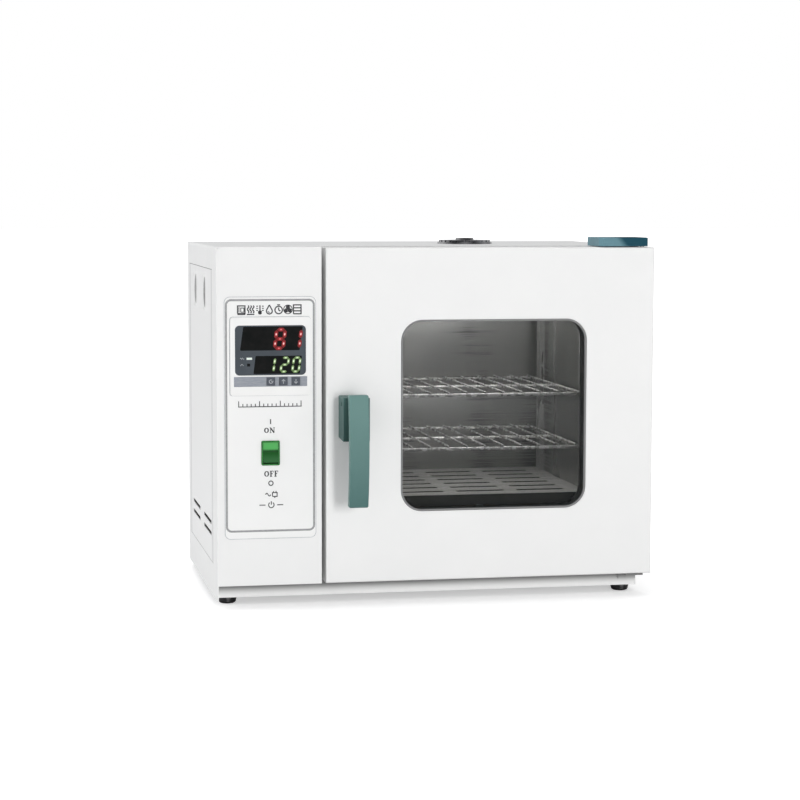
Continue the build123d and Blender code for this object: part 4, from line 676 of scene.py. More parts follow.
# %% Green switch plastic
rocker_green = finish("rocker_green", (0.03, 0.3, 0.05), 0.16, Specular_IOR_Level=0.25)
tree = rocker_green.node_tree
up_the_rocker = add_rise(tree, *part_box("power_rocker"))
rocker_stops = (
    (0.2, (0.03, 0.13, 0.04)), (0.52, (0.004, 0.08, 0.008)),
    (0.6, (0.005, 0.055, 0.01)), (0.7, (0.09, 0.42, 0.11)),
)
drive(rocker_green, "Base Color", add_ramp(tree, up_the_rocker, *rocker_stops))
bezel_green = varied(
    "bezel_green", (0.02, 0.17, 0.03), 0.2, patches=(200.0, (0.015, 0.14, 0.025), (0.03, 0.2, 0.04))
)
print("switch finishes:", rocker_green.name, bezel_green.name)

# %% [markdown]
# ### Glass
#
# The door has two panes of plain float glass. A pane hardly bends light, so it is a see-through surface
# whose Alpha is a few per cent for its tint and rises with Fresnel at the edge, where glass mirrors more.

# %% Window glass
GLASS_TINT = 0.12
window_glass = finish("window_glass", (0.02, 0.024, 0.024), 0.03)
tree = window_glass.node_tree
mirrored = add_node(tree, "Fresnel", {"IOR": 1.5}).outputs["Fac"]
drive(window_glass, "Alpha", add_range(tree, mirrored, 0.0, 1.0, GLASS_TINT, 1.0))
print("glass:", window_glass.name)

# %% [markdown]
# ### Hidden parts
#
# Inside the casing are glass wool, ceramic bushes, a printed circuit board, black mouldings and sleeved
# leads. They show only when the casing is open, and their finishes are simple patterns.

# %% Finishes inside the casing
glass_wool = varied(
    "glass_wool", (0.62, 0.5, 0.22), 0.95,
    patches=((60.0, 8.0, (1.0, 1.0, 4.0)), (0.5, 0.39, 0.16), (0.72, 0.61, 0.3)),
    grain=((160.0, 6.0), 0.002, 0.6),
)
ceramic = varied("ceramic", (0.7, 0.66, 0.56), 0.7, patches=(250.0, (0.65, 0.61, 0.51), (0.74, 0.7, 0.6)))
circuit_green = varied(
    "circuit_green", (0.015, 0.12, 0.03), 0.35,
    patches=((140.0, 1.0, (1.0, 1.0, 3.0)), (0.01, 0.09, 0.02), (0.02, 0.16, 0.045)),
)
black_moulding = varied(
    "black_moulding", (0.015, 0.015, 0.016), 0.45,
    gloss=(500.0, 0.4, 0.55), grain=((1300.0, 2.0), 0.00003, 0.4),
)
lead_sleeve = varied(
    "lead_sleeve", (0.5, 0.47, 0.4), 0.8, patches=((1200.0, 2.0), (0.42, 0.39, 0.33), (0.58, 0.55, 0.48))
)
print("materials:", len(bpy.data.materials))

# %% [markdown]
# ## Dress the CAD pieces
#
# The sheet metal, the handle and most fittings have the right shape already, so they keep their CAD
# meshes and only take a finish.

# %% Give each node its finish
node_finish = {
    # The front frame and the bottom hinge bracket carry the painted shade under the door.
    frame_coat: "front_frame hinge_bottom_bracket",
    panel_coat: "access_panel",
    powder_coat: "cabinet_wrap rear_panel control_fascia door_outer_skin",
    brushed_stainless: "chamber_sleeve chamber_back door_liner sensor_probe",
    rack_steel: "rack_left rack_right",
    floor_stainless: "heat_baffle",
    spacer_grey: "window_spacer",
    chrome_painted_reflection: "vent_collar vent_shutter vent_nut",
    bright_chrome: "shelf_upper shelf_lower",
    galvanised: "base_pan compartment_divider vent_duct latch_strike latch_hook hinge_top_bracket",
    zinc_screw: "casing_screws feet_screws handle_screws hinge_pins handle_pin heater_clips",
    heater_steel: "heater_tubes",
    brass: "door_hinge_bushes",
    cast_aluminium: "relay_heat_sink",
    handle_plastic: "handle_lever",
    block_plastic_painted_shade: "handle_block",
    cap_plastic: "hinge_top_cap",
    foot_rubber: "rubber_feet",
    edge_rubber_and_seam_shade: "window_seal",
    gasket_rubber: "door_gasket",
    label_film: "control_label",
    bezel_plastic: "controller_case",
    slate: "controller_window",
    strip_film: "controller_key_strip",
    key_rubber: "key_left key_middle key_right",
    rocker_green: "power_rocker",
    bezel_green: "switch_body",
    window_glass: "window_outer_glass window_inner_glass",
    glass_wool: "insulation_batts door_insulation",
    ceramic: "heater_bushings terminal_block",
    circuit_green: "controller_board",
    black_moulding: "mains_gland relay_module",
    lead_sleeve: "internal_wiring",
}
dressed = 0
for material, names in node_finish.items():
    for name in names.split():
        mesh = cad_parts[name].data
        mesh.materials.clear()
        mesh.materials.append(material)
        dressed += 1
print("dressed", dressed, "of", len(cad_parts), "nodes")

# %% [markdown]
# ## Wire shelves
#
# A shelf is a frame of five thick rods with thin wires welded across it. The wires' ends are ground round
# and catch the light along the front rod. Each rod is a turned shape whose profile is a half circle at
# both ends, so the ends are domes, and the whole shelf is one mesh.


# %% Rods with round ends
def round_rod(axis, ends, place, radius, steps=14):
    """Turn a rod with domed ends: the radius is r cos t and the end moves out by r sin t over each dome."""
    t = np.linspace(0, np.pi / 2, 5)
    dome = np.stack([radius * np.cos(t), radius * np.sin(t)], axis=1)
    dome[-1, 0] = 0.0
    low = dome[::-1] * [1, -1] + [0, ends[0] + radius]
    high = dome + [0, ends[1] - radius]
    centre = {"x": (0, place[0], place[1]), "y": (place[0], 0, place[1]), "z": (place[0], place[1], 0)}
    return turned(np.concatenate([low, high]), centre[axis], steps, axis)


# %% Wire shelves
ROD_RADIUS, ROD_STEPS, WIRE_RADIUS = 2.0 * MM, 20, 1.25 * MM
WIRE_COUNT, WIRE_PITCH = 11, 22.0 * MM


def wire_shelf(name, node, body):
    """Build a shelf in its CAD node's box: three cross rods, two side rods and the wires on top of them."""
    low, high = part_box(node)
    rod_z, wire_z = low.z + ROD_RADIUS, high.z - WIRE_RADIUS
    cross_y = (low.y + ROD_RADIUS, (low.y + high.y) / 2, high.y - ROD_RADIUS)
    side_x = (low.x + ROD_RADIUS, high.x - ROD_RADIUS)
    wire_x = (low.x + high.x) / 2 + (np.arange(WIRE_COUNT) - (WIRE_COUNT - 1) / 2) * WIRE_PITCH
    parts = [round_rod("x", (low.x, high.x), (y, rod_z), ROD_RADIUS, ROD_STEPS) for y in cross_y]
    parts += [round_rod("y", (low.y, high.y), (x, rod_z), ROD_RADIUS, ROD_STEPS) for x in side_x]
    parts += [round_rod("y", (low.y, high.y), (x, wire_z), WIRE_RADIUS) for x in wire_x]
    shelf = make_piece(name, *stack_meshes(parts), bright_chrome, body, "bright_wire")
    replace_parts(merged(shelf), node)


wire_shelf("upper_wire_shelf", "shelf_upper", "upper_shelf")
wire_shelf("lower_wire_shelf", "shelf_lower", "lower_shelf")

# %% [markdown]
# ## Feet
#
# The feet are moulded rubber pads: a flat top under the base, a slightly barrelled side and a generous
# round edge at the bench, with a recess for the screw. One profile, a closed loop of radii and heights in
# millimetres turned about each foot's own axis, makes all four.

# %% Turn the feet
FOOT_RADIUS, FOOT_STEPS = 11.0 * MM, 56
FOOT_FLAT, FOOT_ROUND = 6.8, 3.4
low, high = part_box("rubber_feet")
foot_x = (low.x + FOOT_RADIUS, high.x - FOOT_RADIUS)
foot_y = (low.y + FOOT_RADIUS, high.y - FOOT_RADIUS)
t = np.linspace(0, np.pi / 2, 9)
round_edge = np.stack([FOOT_FLAT + FOOT_ROUND * np.sin(t), FOOT_ROUND - FOOT_ROUND * np.cos(t)], axis=1)
side = np.array([[10.6, 4.6], [10.95, 6.2], [10.95, 7.3], [10.6, 7.85], [10.1, 8.0], [2.0, 8.0], [2.0, 4.4]])
recess = np.array([[4.3, 4.4], [4.3, 0.4], [4.7, 0.0], [FOOT_FLAT, 0.0]])
foot_profile = np.concatenate([round_edge[1:], side, recess]) * MM
ring = grid_faces(len(foot_profile), FOOT_STEPS, close_rows=True, close_columns=True)
foot_parts = [(turned(foot_profile, (x, y, 0), FOOT_STEPS)[0], ring) for x in foot_x for y in foot_y]
feet = make_piece("rubber_foot_pads", *stack_meshes(foot_parts), foot_rubber, "cabinet", "black_rubber")
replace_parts(merged(feet), "rubber_feet")

# %% [markdown]
# ## Seals
#
# The window's edge is a rubber section that grips the sheet: a thin round lip outside and a flat flange
# behind the steel. The door's gasket is a hollow silicone tube on a flat foot. Both are one closed profile
# carried round a rectangle with round corners.

# %% Window edge
SPACER_LAP, SEAL_INSET, SEAL_CORNER = 2.0 * MM, 5.0 * MM, 22.5 * MM
LIP_HALF, LIP_BASE, LIP_RISE, LIP_PROUD = 1.18, 1.0, 1.3, 0.3 * MM
seal_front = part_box("window_seal")[0].y
window_low, window_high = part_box("window_spacer")
path, out = round_box(window_low, window_high, -SPACER_LAP - SEAL_INSET, SEAL_CORNER, 14)
t = np.linspace(0, np.pi, 9)
lip = np.stack([LIP_HALF - LIP_HALF * np.cos(t), LIP_BASE - LIP_RISE * np.sin(t)], axis=1)
flange = np.array([[2 * LIP_HALF, 1.2], [10.5, 1.2], [10.5, 2.4], [0.0, 2.4]])
profile = np.concatenate([lip, flange]) * MM + [0, seal_front + LIP_PROUD]
seal = make_piece("window_edge_seal", *carried(path, out, profile), edge_rubber_and_seam_shade, "door", "dark_rubber")
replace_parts(merged(seal), "window_seal")

# %% Door gasket
GASKET_BAND, GASKET_CORNER, FOOT_EDGE = 12.0 * MM, 12 * MM, 0.9 * MM
BEAD_HALF, BEAD_BASE = 4.4 * MM, 1.2 * MM
low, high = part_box("door_gasket")
path, out = round_box(low, high, -GASKET_BAND, GASKET_CORNER, 10)
t = np.linspace(0, np.pi, 13)
bead_y = low.y + BEAD_BASE + (high.y - low.y - BEAD_BASE) * np.sin(t) ** 0.7
foot_x = np.array([1, 1, -1, -1]) * GASKET_BAND / 2
foot_y = low.y + np.array([1, 0, 0, 1]) * FOOT_EDGE
bead = np.stack([-BEAD_HALF * np.cos(t), bead_y], axis=1)
profile = np.concatenate([bead, np.stack([foot_x, foot_y], axis=1)])
gasket = make_piece("door_gasket_bead", *carried(path, out, profile), gasket_rubber, "door", "red_silicone")
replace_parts(merged(gasket), "door_gasket")

# %% Painted shade in the access panel's joint: a dark cord in its gap
PANEL_LAP, PANEL_GAP, SEAM_SHADE_CORNER = 6.0 * MM, 0.8 * MM, 0.5 * MM
panel_low, panel_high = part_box("access_panel")
side_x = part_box("cabinet_wrap")[0].x
path, out = round_box(panel_low, panel_high, -2 * (PANEL_LAP + PANEL_GAP), SEAM_SHADE_CORNER, 3, "y")
seam_shade_profile = np.array([[0.0, 0.35], [0.78, 0.35], [0.78, 0.8], [0.0, 0.8]]) * MM
points, faces = carried(path, out, seam_shade_profile)
points = points[:, [1, 0, 2]] + [side_x, 0, 0]
# The cord is painted shade: a dark line along the seam, in the window edge's rubber finish.
merged(make_piece("access_panel_seam_shade", points, faces, edge_rubber_and_seam_shade, "cabinet", "dark_rubber"))


# %% Painted shade in the mouths of the louvres
def mouth(middle_y, middle_z, reach, steps=25, columns=4):
    """Lay a thin sheet of painted shade on the front flank of a pressed louvre, where the shade of its open
    mouth falls.

    With t from -1 to 1 up the louvre and s from 0 to 1 out of the sheet, the louvre's foot lies on an
    ellipse, y = -a sqrt(1 - (0.89 t) squared), and the flank rises by h (1 - t squared) to the 0.7, and
    leans back by 0.7 of its rise.
    """
    half_width, rise, proud, thickness = 4.5 * MM, 2.0 * MM, 0.14 * MM, 0.1 * MM
    t = np.linspace(-1, 1, steps)[:, None]
    s = np.linspace(0, 1, columns)[None, :]
    foot_y = middle_y - half_width * np.sqrt(1 - (0.89 * t) ** 2)
    out = s * rise * (1 - t ** 2) ** 0.7
    z = np.repeat(middle_z + reach * t, columns, axis=1)
    front = np.stack([side_x - out, foot_y + 0.7 * out - proud, z], axis=2).reshape(-1, 3)
    back = front + [0, thickness, 0]
    faces = grid_faces(steps, columns).tolist()
    number = np.arange(steps * columns).reshape(steps, columns)
    edge = np.concatenate([number[:, 0], number[-1, 1:], number[-2::-1, -1], number[0, -2:0:-1]])
    count = steps * columns
    walls = np.stack([edge, np.roll(edge, -1), np.roll(edge, -1) + count, edge + count], axis=1).tolist()
    return np.concatenate([front, back]), faces + [[k + count for k in reversed(f)] for f in faces] + walls


LOUVRE_DROP, LOUVRE_REACH, LOUVRE_SHARES = 29.0 * MM, 19.0 * MM, (0.3, 0.7)
louvre_z = panel_high.z - PANEL_LAP - LOUVRE_DROP
louvre_span = panel_high.y - panel_low.y - 2 * PANEL_LAP
louvre_y = [panel_low.y + PANEL_LAP + share * louvre_span for share in LOUVRE_SHARES]
# Each louvre's mouth is a thin grey sheet of painted shade.
mouths = [mouth(y, louvre_z, LOUVRE_REACH) for y in louvre_y]
merged(make_piece("louvre_mouths", *stack_meshes(mouths), opening_painted_shade, "cabinet", "white_paint"))

# %% [markdown]
# ## Lit digits
#
# A seven-segment digit is seven slanted bars. Each bar is a flat hexagon, pointed at both ends so that
# neighbours meet in a mitre. The whole digit leans to the right: a point at height h moves by h times the
# slant. The measured temperature glows red above, and the set temperature pale green below.

# %% Segments
LABEL_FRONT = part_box("control_label")[0].y
WINDOW_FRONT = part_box("controller_window")[0].y
WINDOW_INSIDE = WINDOW_FRONT + 0.02 * MM
SEGMENT_GAP, DISPLAY_PROUD, DIGIT_PROUD = 0.25 * MM, 0.05 * MM, 0.1 * MM
SEGMENTS = {"0": "abcdef", "1": "bc", "2": "abged", "8": "abcdefg"}
BARS = {
    "a": ((0, 1), (1, 1)), "b": ((1, 1), (1, 0.5)), "c": ((1, 0.5), (1, 0)), "d": ((0, 0), (1, 0)),
    "e": ((0, 0.5), (0, 0)), "f": ((0, 1), (0, 0.5)), "g": ((0, 0.5), (1, 0.5)),
}


def segment(start, end, thickness, slant, left, bottom, rows=7):
    """Lay a bar from start to end: across it the width tapers to a point over the last half thickness.

    Both s along the bar and w across it run from -1 to 1. The half width at s is the lesser of half the
    thickness and the distance to the nearer end. V in the UV map is (1 - w squared) times a bell curve in
    s, so that it is 1 at the lamp in the middle and near 0 at the edge. A level bar has the weaker lamp,
    and its values are 0.86 of an upright bar's.
    """
    bell, level_share = 0.62, 0.86
    start, end = np.array(start, float), np.array(end, float)
    length = np.linalg.norm(end - start)
    along = (end - start) / length
    across = np.array([-along[1], along[0]])
    reach = length / 2 - SEGMENT_GAP
    shoulder = 1 - thickness / (2 * reach)
    inner = np.linspace(-shoulder, shoulder, 13)
    s = np.concatenate([[-1], inner, [1]])
    half = np.minimum(thickness / 2, (1 - np.abs(s)) * reach)
    w = np.linspace(-1, 1, rows)
    flat = (start + end) / 2 + along * (s * reach)[:, None, None] + across * (half[:, None] * w)[:, :, None]
    value = (1 - w ** 2)[None, :] * np.exp(-(s / bell) ** 2)[:, None]
    value = value * (level_share + (1 - level_share) * abs(along[1]))
    x = left + flat[..., 0] + slant * flat[..., 1]
    z = bottom + flat[..., 1]
    y = np.full_like(x, WINDOW_FRONT - DIGIT_PROUD)
    return np.stack([x, y, z], axis=2).reshape(-1, 3), grid_faces(len(s), rows), value.ravel()


# %% Numbers
def digits(name, text, material, lefts, bottom, width, height, thickness, slant):
    """Write a number as one mesh of flat lit bars just in front of the display, with its UV map."""
    parts, values = [], []
    for character, left in zip(text, lefts):
        for key in SEGMENTS[character]:
            ends = [(u * (width * MM), v * (height * MM)) for u, v in BARS[key]]
            points, faces, value = segment(*ends, thickness * MM, slant, left * MM, bottom * MM)
            parts.append((points, faces))
            values.append(value)
    piece = make_piece(name, *stack_meshes(parts), material, "cabinet", "slate_window", smooth=False)
    layer = piece.data.uv_layers.new(name="glow")
    loop_point = np.zeros(len(piece.data.loops), int)
    piece.data.loops.foreach_get("vertex_index", loop_point)
    v = np.concatenate(values)[loop_point]
    layer.data.foreach_set("uv", np.stack([np.full_like(v, 0.5), v], axis=1).ravel())


# %% Displays and their numbers
def display(name, left, right, bottom, top, lean, radius=1.2):
    """Lay a black display with round corners whose two ends lean; its places are in millimetres."""
    t = np.linspace(0, np.pi / 2, 5)
    corner = np.stack([np.cos(t), np.sin(t)], axis=1) * (radius * MM)
    places = np.array([(right, top), (left + lean, top), (left, bottom), (right - lean, bottom)]) * MM
    inwards = np.array([[-1, -1], [1, -1], [1, 1], [-1, 1]]) * (radius * MM)
    outline = []
    for k, (place, inward) in enumerate(zip(places, inwards)):
        cosine, sine = math.cos(k * math.pi / 2), math.sin(k * math.pi / 2)
        outline.append(place + inward + corner @ np.array([[cosine, sine], [-sine, cosine]]))
    points, faces = plate(np.concatenate(outline), WINDOW_FRONT - DISPLAY_PROUD, WINDOW_INSIDE)
    merged(make_piece(name, points, faces, display_black, "cabinet", "slate_window", smooth=False))


display("upper_display", left=-228.8, right=-158.0, bottom=294.2, top=321.0, lean=3.4)
display("lower_display", left=-213.8, right=-159.0, bottom=267.8, top=288.0, lean=2.2)
digits(
    "measured_digits", "81", red_glow,
    lefts=(-189.9, -171.6), bottom=296.5, width=9.6, height=21.0, thickness=4.2, slant=0.12,
)
digits(
    "set_digits", "120", green_glow,
    lefts=(-198.7, -183.2, -170.0), bottom=270.2, width=7.3, height=15.6, thickness=2.9, slant=0.14,
)

# %% [markdown]
# ## Print on the label and the controller
#
# The label has a grey border with round corners. The place of its title holds plain pictograms: an oven,
# rising heat, a thermometer, a drop, a timer, a fan and trays. A bare scale takes the caption's place. ON
# and OFF stand above and below the switch, and signs for mains power stand under them. Each mark is a
# line with a width, and is a tenth of a millimetre proud of the film, as ink is.

# %% Painted shade along the edges of the label and the bezel, and the label's border
EDGE_LAP, LABEL_CORNER, CASE_CORNER, BORDER_CORNER = 0.2 * MM, 6.1 * MM, 3.1 * MM, 5.6 * MM
BORDER_X, BORDER_Z, BORDER_WIDTH, BORDER_HEIGHT = -194.6 * MM, 220.1 * MM, 99.4 * MM, 261.3 * MM
label_edge = round_box(*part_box("control_label"), EDGE_LAP, LABEL_CORNER, 10)
case_edge = round_box(*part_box("controller_case"), EDGE_LAP, CASE_CORNER, 8)
border = round_rectangle(BORDER_X, BORDER_Z, BORDER_WIDTH, BORDER_HEIGHT, BORDER_CORNER, 10)
# The lines on the label's edge and the bezel's foot are painted shade, pale lines that stand for the shade at
# their steps; the border is print.
lines = (
    ("label_edge_painted_shade", label_edge, pale_ink_and_painted_shade, [[-0.1, 0.1], [0.45, 0.1], [0.45, 0.46], [-0.1, 0.46]]),
    ("bezel_foot_painted_shade", case_edge, pale_ink_and_painted_shade, [[-0.1, -0.12], [0.4, -0.12], [0.4, 0.1], [-0.1, 0.1]]),
    ("label_border", border, grey_ink,
     [[-1.15, 0.0], [-1.0, -0.08], [1.0, -0.08], [1.15, 0.0], [1.15, 0.05], [-1.15, 0.05]]),
)
for name, (path, out), ink, profile in lines:
    points, faces = carried(path, out, np.array(profile) * MM + [0, LABEL_FRONT])
    merged(make_piece(name, points, faces, ink, "cabinet", "white_plastic"))


# %% Lines to print with
INK_FRONT, INK_DEPTH = LABEL_FRONT - 0.08 * MM, 0.12 * MM


def arc(x, z, radius, start, stop, steps=14):
    """Return points on a circle from one angle to another, in degrees."""
    t = np.radians(np.linspace(start, stop, steps))
    return np.stack([x + radius * np.cos(t), z + radius * np.sin(t)], axis=1)


def wave(x, z, width, height, turns=2, steps=17):
    """Return a sine line: z swings by half the height while x crosses the width."""
    s = np.linspace(0, 1, steps)
    return np.stack([x + (s - 0.5) * width, z + height / 2 * np.sin(2 * np.pi * turns * s)], axis=1)


def box_line(x, z, width, height):
    """Return the closed outline of a rectangle around x, z."""
    corners = np.array([[-1, -1], [1, -1], [1, 1], [-1, 1], [-1, -1]]) / 2
    return np.array([x, z]) + corners * [width, height]


def moved(lines, x, z):
    """Move lines by x and z; a line that comes with a width of its own keeps it."""
    return [(np.add(k[0], (x, z)), k[1]) if isinstance(k, tuple) else np.add(k, (x, z)) for k in lines]


def marks(name, lines, width, material=black_ink, front=INK_FRONT, body="cabinet", slot="white_plastic"):
    """Print lines, given in millimetres, as one thin piece whose face lies at front.

    A line is a list of points, drawn with the given width, or a pair of points and its own width.
    """
    parts = []
    for line in lines:
        points, own = line if isinstance(line, tuple) else (line, width)
        outline = stroke(np.asarray(points, float) * MM, np.asarray(own) * MM)
        parts.append(plate(outline, front, front + INK_DEPTH))
    merged(make_piece(name, *stack_meshes(parts), material, body, slot, smooth=False))


# %% Pictograms, each drawn round its own middle in millimetres
TITLE_Z, TITLE_LEFT, TITLE_PITCH = 340.0, -227.0, 10.55
oven = [
    box_line(0, 0, 8.4, 8.6), (box_line(1.2, -0.4, 3.6, 4.6), 1.0),
    ([(-2.6, -3.0), (-2.6, 3.0)], 1.0), ([(-4.4, -5.4), (4.4, -5.4)], 1.0),
]
heat = [wave(0.4, k * 2.9, 8.4, 1.7, 1.5)[:, ::-1] for k in (-1, 0, 1)] + [[(-4.2, -5.3), (4.2, -5.3)]]
meter = [(arc(0, -3.2, 1.1, 0, 360), 2.4), [(0, -3.0), (0, 4.9)]]
meter += [([(x, z), (x + 2.0, z)], 1.1) for x in (2.2, -4.2) for z in (-0.96, 1.44, 3.84)]
drop_tip = [(0, 5.2)]
drop = [
    np.concatenate([drop_tip, arc(0, -1.7, 3.3, 28, -208, 24), drop_tip]),
    (arc(0, -1.7, 1.5, 180, 290, 8), 0.9),
]
timer = [
    arc(0, -0.6, 4.2, 0, 360, 28), [(0, 2.2), (0, -0.6)], [(0, -0.6), (2.0, -1.8)], [(-1.6, 5.2), (1.6, 5.2)]
]
fan = [(arc(x, z, 1.25, 0, 360), 2.3) for x, z in arc(0, 0, 2.5, 90, 330, 3)]
fan.append((arc(0, 0, 4.9, 0, 360, 30), 0.9))
trays = [box_line(0, 0, 8.6, 10.0), [(-4.2, -1.7), (4.2, -1.7)], [(-4.2, 1.7), (4.2, 1.7)]]
title_lines = []
for k, sign in enumerate((oven, heat, meter, drop, timer, fan, trays)):
    title_lines += moved(sign, TITLE_LEFT + k * TITLE_PITCH, TITLE_Z)
marks("title_pictograms", title_lines, 1.35)

# %% Scale and mains signs
SCALE_LEFT, SCALE_Z, SCALE_STEP, SCALE_TICKS = -230.4, 233.6, 4.72, 16
SCALE_FOOT, LONG_TICK, SHORT_TICK = -3.0, 3.4, 0.4
scale = [
    [(k * SCALE_STEP, SCALE_FOOT), (k * SCALE_STEP, SHORT_TICK if k % 5 else LONG_TICK)]
    for k in range(SCALE_TICKS)
]
scale.append([(-0.5, SCALE_FOOT), ((SCALE_TICKS - 1) * SCALE_STEP + 0.5, SCALE_FOOT)])
marks("temperature_scale", moved(scale, SCALE_LEFT, SCALE_Z), 1.0)

POWER_X, POWER_Z, MAINS_Z = -193.8, 118.8, 130.6
power = [arc(0, 0, 3.1, 124, 416, 26), [(0, 0.3), (0, 4.2)]]
power += [[(side * 6.6, 0), (side * 13.6, 0)] for side in (-1, 1)]
mains = [wave(-3.6, 0, 6.0, 3.2, 1, 15), box_line(4.0, 0, 5.2, 4.4), [(4.0, -2.2), (4.0, -3.9)]]
mains += [[(x, 2.2), (x, 4.0)] for x in (2.6, 5.4)]
marks("power_marks", moved(power, POWER_X, POWER_Z) + moved(mains, POWER_X, MAINS_Z), 1.1)
marks("switch_top_mark", [[(-194.4, 210.8), (-194.4, 216.4)]], 1.3)
marks("switch_bottom_mark", [arc(-194.2, 143.6, 2.5, 0, 360, 24)], 1.2)


# %% ON and OFF
def letter(shape, width, height, thick=1.5, thin=0.75):
    """Return the strokes of a printed capital with thick and thin lines and short end bars.

    The letter stands on z = 0, with its left edge at x = 0. The round letter is an ellipse whose stroke is
    thick where it runs upright: the width at angle t is thin + (thick - thin) |cos t|.
    """
    ends = thin * 0.8
    if shape == "O":
        t = np.linspace(0, 2 * np.pi, 33)
        x = width / 2 + (width - thick) / 2 * np.cos(t)
        z = height / 2 + (height - thin) / 2 * np.sin(t)
        return [(np.stack([x, z], axis=1), thin + (thick - thin) * np.abs(np.cos(t)))]
    if shape == "N":
        return [
            ([(0.9, 0), (0.9, height)], thin), ([(width - 0.9, 0), (width - 0.9, height)], thin),
            ([(0.7, height), (width - 0.8, 0)], thick), ([(-0.2, height), (1.4, height)], ends),
            ([(-0.2, 0), (2.0, 0)], ends), ([(width - 2.0, height), (width + 0.2, height)], ends),
        ]
    middle = height * 0.52
    return [
        ([(1.2, 0), (1.2, height)], thick), ([(0, height), (width, height)], thin),
        ([(1.2, middle), (width - 1.2, middle)], thin), ([(width, height), (width, height - 1.7)], ends),
        ([(0, 0), (2.6, 0)], ends), ([(width - 1.2, middle - 0.8), (width - 1.2, middle + 0.8)], ends),
    ]


def word(name, bottom, height, *letters):
    """Print a word whose letters are each a shape, a left edge and a width."""
    lines = []
    for shape, left, width in letters:
        lines += moved(letter(shape, width, height), left, bottom)
    marks(name, lines, 1.0)


word("switch_on_word", 200.9, 5.7, ("O", -201.8, 5.5), ("N", -195.3, 5.7))
word("switch_off_word", 151.2, 6.2, ("O", -201.8, 5.6), ("F", -195.3, 3.9), ("F", -190.2, 3.9))

# %% [markdown]
# ## Marks on the controller
#
# Beside the lower display are a lit bar and an unlit square lamp, each with a small pale mark. The three
# keys carry plain signs: a loop for menu, an arrow up and an arrow down.

# %% Indicator lamps
LAMP_FRONT = WINDOW_FRONT - 0.08 * MM


def small_lamp(name, x0, x1, z0, z1, material, value):
    """Lay a small flat lamp with a UV map that holds one value, for the glow finish."""
    outline = np.array([[x1, z1], [x0, z1], [x0, z0], [x1, z0]]) * MM
    points, faces = plate(outline, LAMP_FRONT, WINDOW_INSIDE)
    piece = make_piece(name, points, faces, material, "cabinet", "slate_window", smooth=False)
    layer = piece.data.uv_layers.new(name="glow")
    layer.data.foreach_set("uv", np.full(2 * len(piece.data.loops), value))
    merged(piece)


small_lamp("output_lamp", -221.6, -215.4, 283.9, 286.3, lamp_glow, 0.9)
small_lamp("alarm_lamp", -221.0, -217.6, 276.4, 279.6, display_black, 0.0)
lamp_lines = [wave(-226.6, 285.2, 4.2, 1.5, 2), [(-228.6, 277.2), (-226.8, 279.0), (-225.0, 277.2)]]
marks("lamp_signs", lamp_lines, 0.45, pale_ink_and_painted_shade, LAMP_FRONT, slot="slate_window")

# %% Key signs
KEY_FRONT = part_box("key_left")[0].y
KEY_Z = (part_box("key_left")[0].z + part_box("key_left")[1].z) / 2 / MM
menu = [arc(0, 0, 1.9, 60, 340, 20), [(0.4, 0.2), (1.9, -0.6), (2.6, 0.9)]]
arrow_up = [[(0, -2.4), (0, 2.3)], [(-1.9, 0.3), (0, 2.3), (1.9, 0.3)]]
arrow_down = [[(x, -z) for x, z in line] for line in arrow_up]
for side, sign in (("left", menu), ("middle", arrow_up), ("right", arrow_down)):
    key_x = (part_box(f"key_{side}")[0].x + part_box(f"key_{side}")[1].x) / 2 / MM
    lines = moved(sign, key_x, KEY_Z)
    marks(f"{side}_key_sign", lines, 0.75, pale_ink_and_painted_shade, KEY_FRONT - 0.05 * MM, f"{side}_key", "lilac_strip")

# %% [markdown]
# ## Casing screws
#
# Pan-head screws with a cross recess hold the rear panel, and two more stand on the hinge bracket under
# its cap. The head is a low dome, and the recess is pressed into it by the same function: where a point
# lies within the cross's arms, its height drops. The shanks are round rods.


# %% Pan-head screws
def pan_head(centre, radius, height, rings=14, steps=48):
    """Make a dome whose cross-shaped recess is pushed in by a smooth step.

    The dome's height is h times the root of 1 - (r / R) to the 4. The recess is 0.75 h deep within arms
    that are 0.17 R to each side of their middle and reach out to 0.62 R.
    """
    arm_half, arm_reach, depth, steepness = 0.17, 0.62, 0.75, 14
    r = np.linspace(0, 1, rings)[:, None] * radius
    t = (np.arange(steps) * 2 * np.pi / steps)[None, :]
    x, z = r * np.cos(t), r * np.sin(t)
    dome = height * (1 - (r / radius) ** 4) ** 0.5
    arm = np.minimum(np.abs(x), np.abs(z)) / (arm_half * radius)
    reach = np.maximum(np.abs(x), np.abs(z)) / (arm_reach * radius)
    inside = 1 / (1 + np.exp(steepness * (arm - 1))) / (1 + np.exp(steepness * (reach - 1)))
    y = dome - depth * height * inside
    y[-1] = 0
    points = np.stack(np.broadcast_arrays(x, y, z), axis=2).reshape(-1, 3)
    faces = grid_faces(rings, steps, close_columns=True).tolist()
    faces.append(list(range((rings - 1) * steps, rings * steps)))
    return points + np.asarray(centre), faces


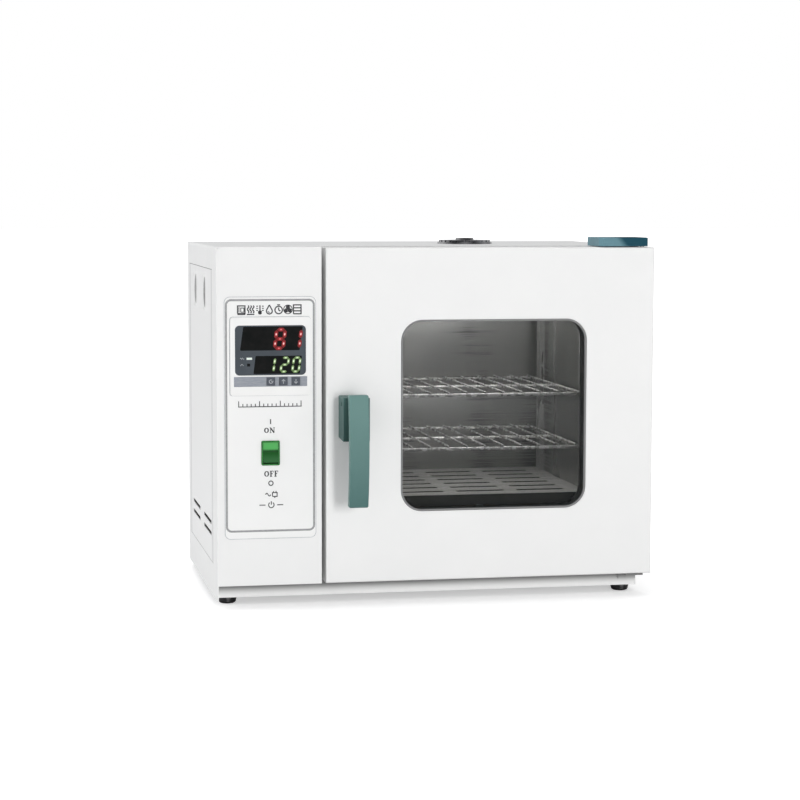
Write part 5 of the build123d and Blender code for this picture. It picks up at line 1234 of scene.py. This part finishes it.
# %% Place the screws
HEAD_RADIUS, HEAD_HEIGHT, SHANK_RADIUS, SHANK_START = 3.4 * MM, 2.0 * MM, 1.6 * MM, 0.1 * MM
REAR_MIDDLE_X, REAR_TOP_DROP, REAR_SHANK = 0.065, 8.2 * MM, 6.4 * MM
BRACKET_OFFSETS, BRACKET_SHANK = (10.1, 32.1), 7.6 * MM
rear_low, rear_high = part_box("rear_panel")
bracket_low, bracket_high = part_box("hinge_top_bracket")
screw_low, screw_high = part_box("casing_screws")
rear_x = (screw_low.x + HEAD_RADIUS, REAR_MIDDLE_X, screw_high.x - HEAD_RADIUS)
rear_z = (screw_low.z + HEAD_RADIUS, (rear_low.z + rear_high.z) / 2, rear_high.z - REAR_TOP_DROP)
rear_places = [(x, z) for x in rear_x for z in rear_z if x != rear_x[1] or z == rear_z[2]]
rear_reach = (rear_high.y - REAR_SHANK, rear_high.y - SHANK_START)
screw_parts = []
for x, z in rear_places:
    screw_parts.append(pan_head((x, rear_high.y, z), HEAD_RADIUS, HEAD_HEIGHT))
    screw_parts.append(round_rod("y", rear_reach, (x, z), SHANK_RADIUS))

# The bracket's screws stand upright, so the head's own axis, y, becomes z.
bracket_y = screw_low.y + HEAD_RADIUS
bracket_reach = (bracket_high.z - BRACKET_SHANK, bracket_high.z - SHANK_START)
for x in (bracket_low.x + offset * MM for offset in BRACKET_OFFSETS):
    points, faces = pan_head((0.0, 0.0, 0.0), HEAD_RADIUS, HEAD_HEIGHT)
    upright = np.stack([points[:, 0] + x, bracket_y - points[:, 2], points[:, 1] + bracket_high.z], axis=1)
    screw_parts.append((upright, faces))
    screw_parts.append(round_rod("z", bracket_reach, (x, bracket_y), SHANK_RADIUS))
print("rear screws at", [(round(x, 4), round(z, 4)) for x, z in rear_places])
screws = make_piece("cross_recess_screws", *stack_meshes(screw_parts), zinc_screw, "cabinet", "steel_fixings")
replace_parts(merged(screws), "casing_screws")

# %% [markdown]
# ## Floor
#
# The oven stands on a pale floor. Camera rays see the floor a little brighter than it is lit, which keeps
# the studio white, and the soft shadow under the oven stays: the extra light is weaker near the middle.

# %% Lay the floor
FLOOR_HALF, SHADOW_INNER, SHADOW_OUTER, SHADOW_LIFT = 30.0, 0.24, 0.46, 0.46
floor_mesh = bpy.data.meshes.new("floor")
corners = [(x * FLOOR_HALF, y * FLOOR_HALF, 0) for x, y in ((-1, -1), (1, -1), (1, 1), (-1, 1))]
floor_mesh.from_pydata(corners, [], [(0, 1, 2, 3)])
floor = bpy.data.objects.new("floor", floor_mesh)
scene.collection.objects.link(floor)
floor_finish = finish("studio_floor", (0.8, 0.8, 0.8), 0.9)
tree = floor_finish.node_tree
place = add_node(tree, "TexCoord").outputs["Object"]
distance = add_node(tree, "VectorMath", {0: place}, operation="LENGTH").outputs["Value"]
far = add_range(tree, distance, SHADOW_INNER, SHADOW_OUTER, SHADOW_LIFT, 1.0, "SMOOTHSTEP")
share = add_math(tree, "MULTIPLY", add_node(tree, "LightPath").outputs["Is Camera Ray"], far)
lift = add_node(tree, "Emission", {"Color": (1.0, 1.0, 1.0, 1.0), "Strength": share})
both = add_node(tree, "AddShader", {0: tree.nodes["Principled BSDF"].outputs[0], 1: lift.outputs[0]})
tree.links.new(both.outputs[0], tree.nodes["Material Output"].inputs["Surface"])
floor_mesh.materials.append(floor_finish)
print("floor of", 2 * FLOOR_HALF, "metres each way")
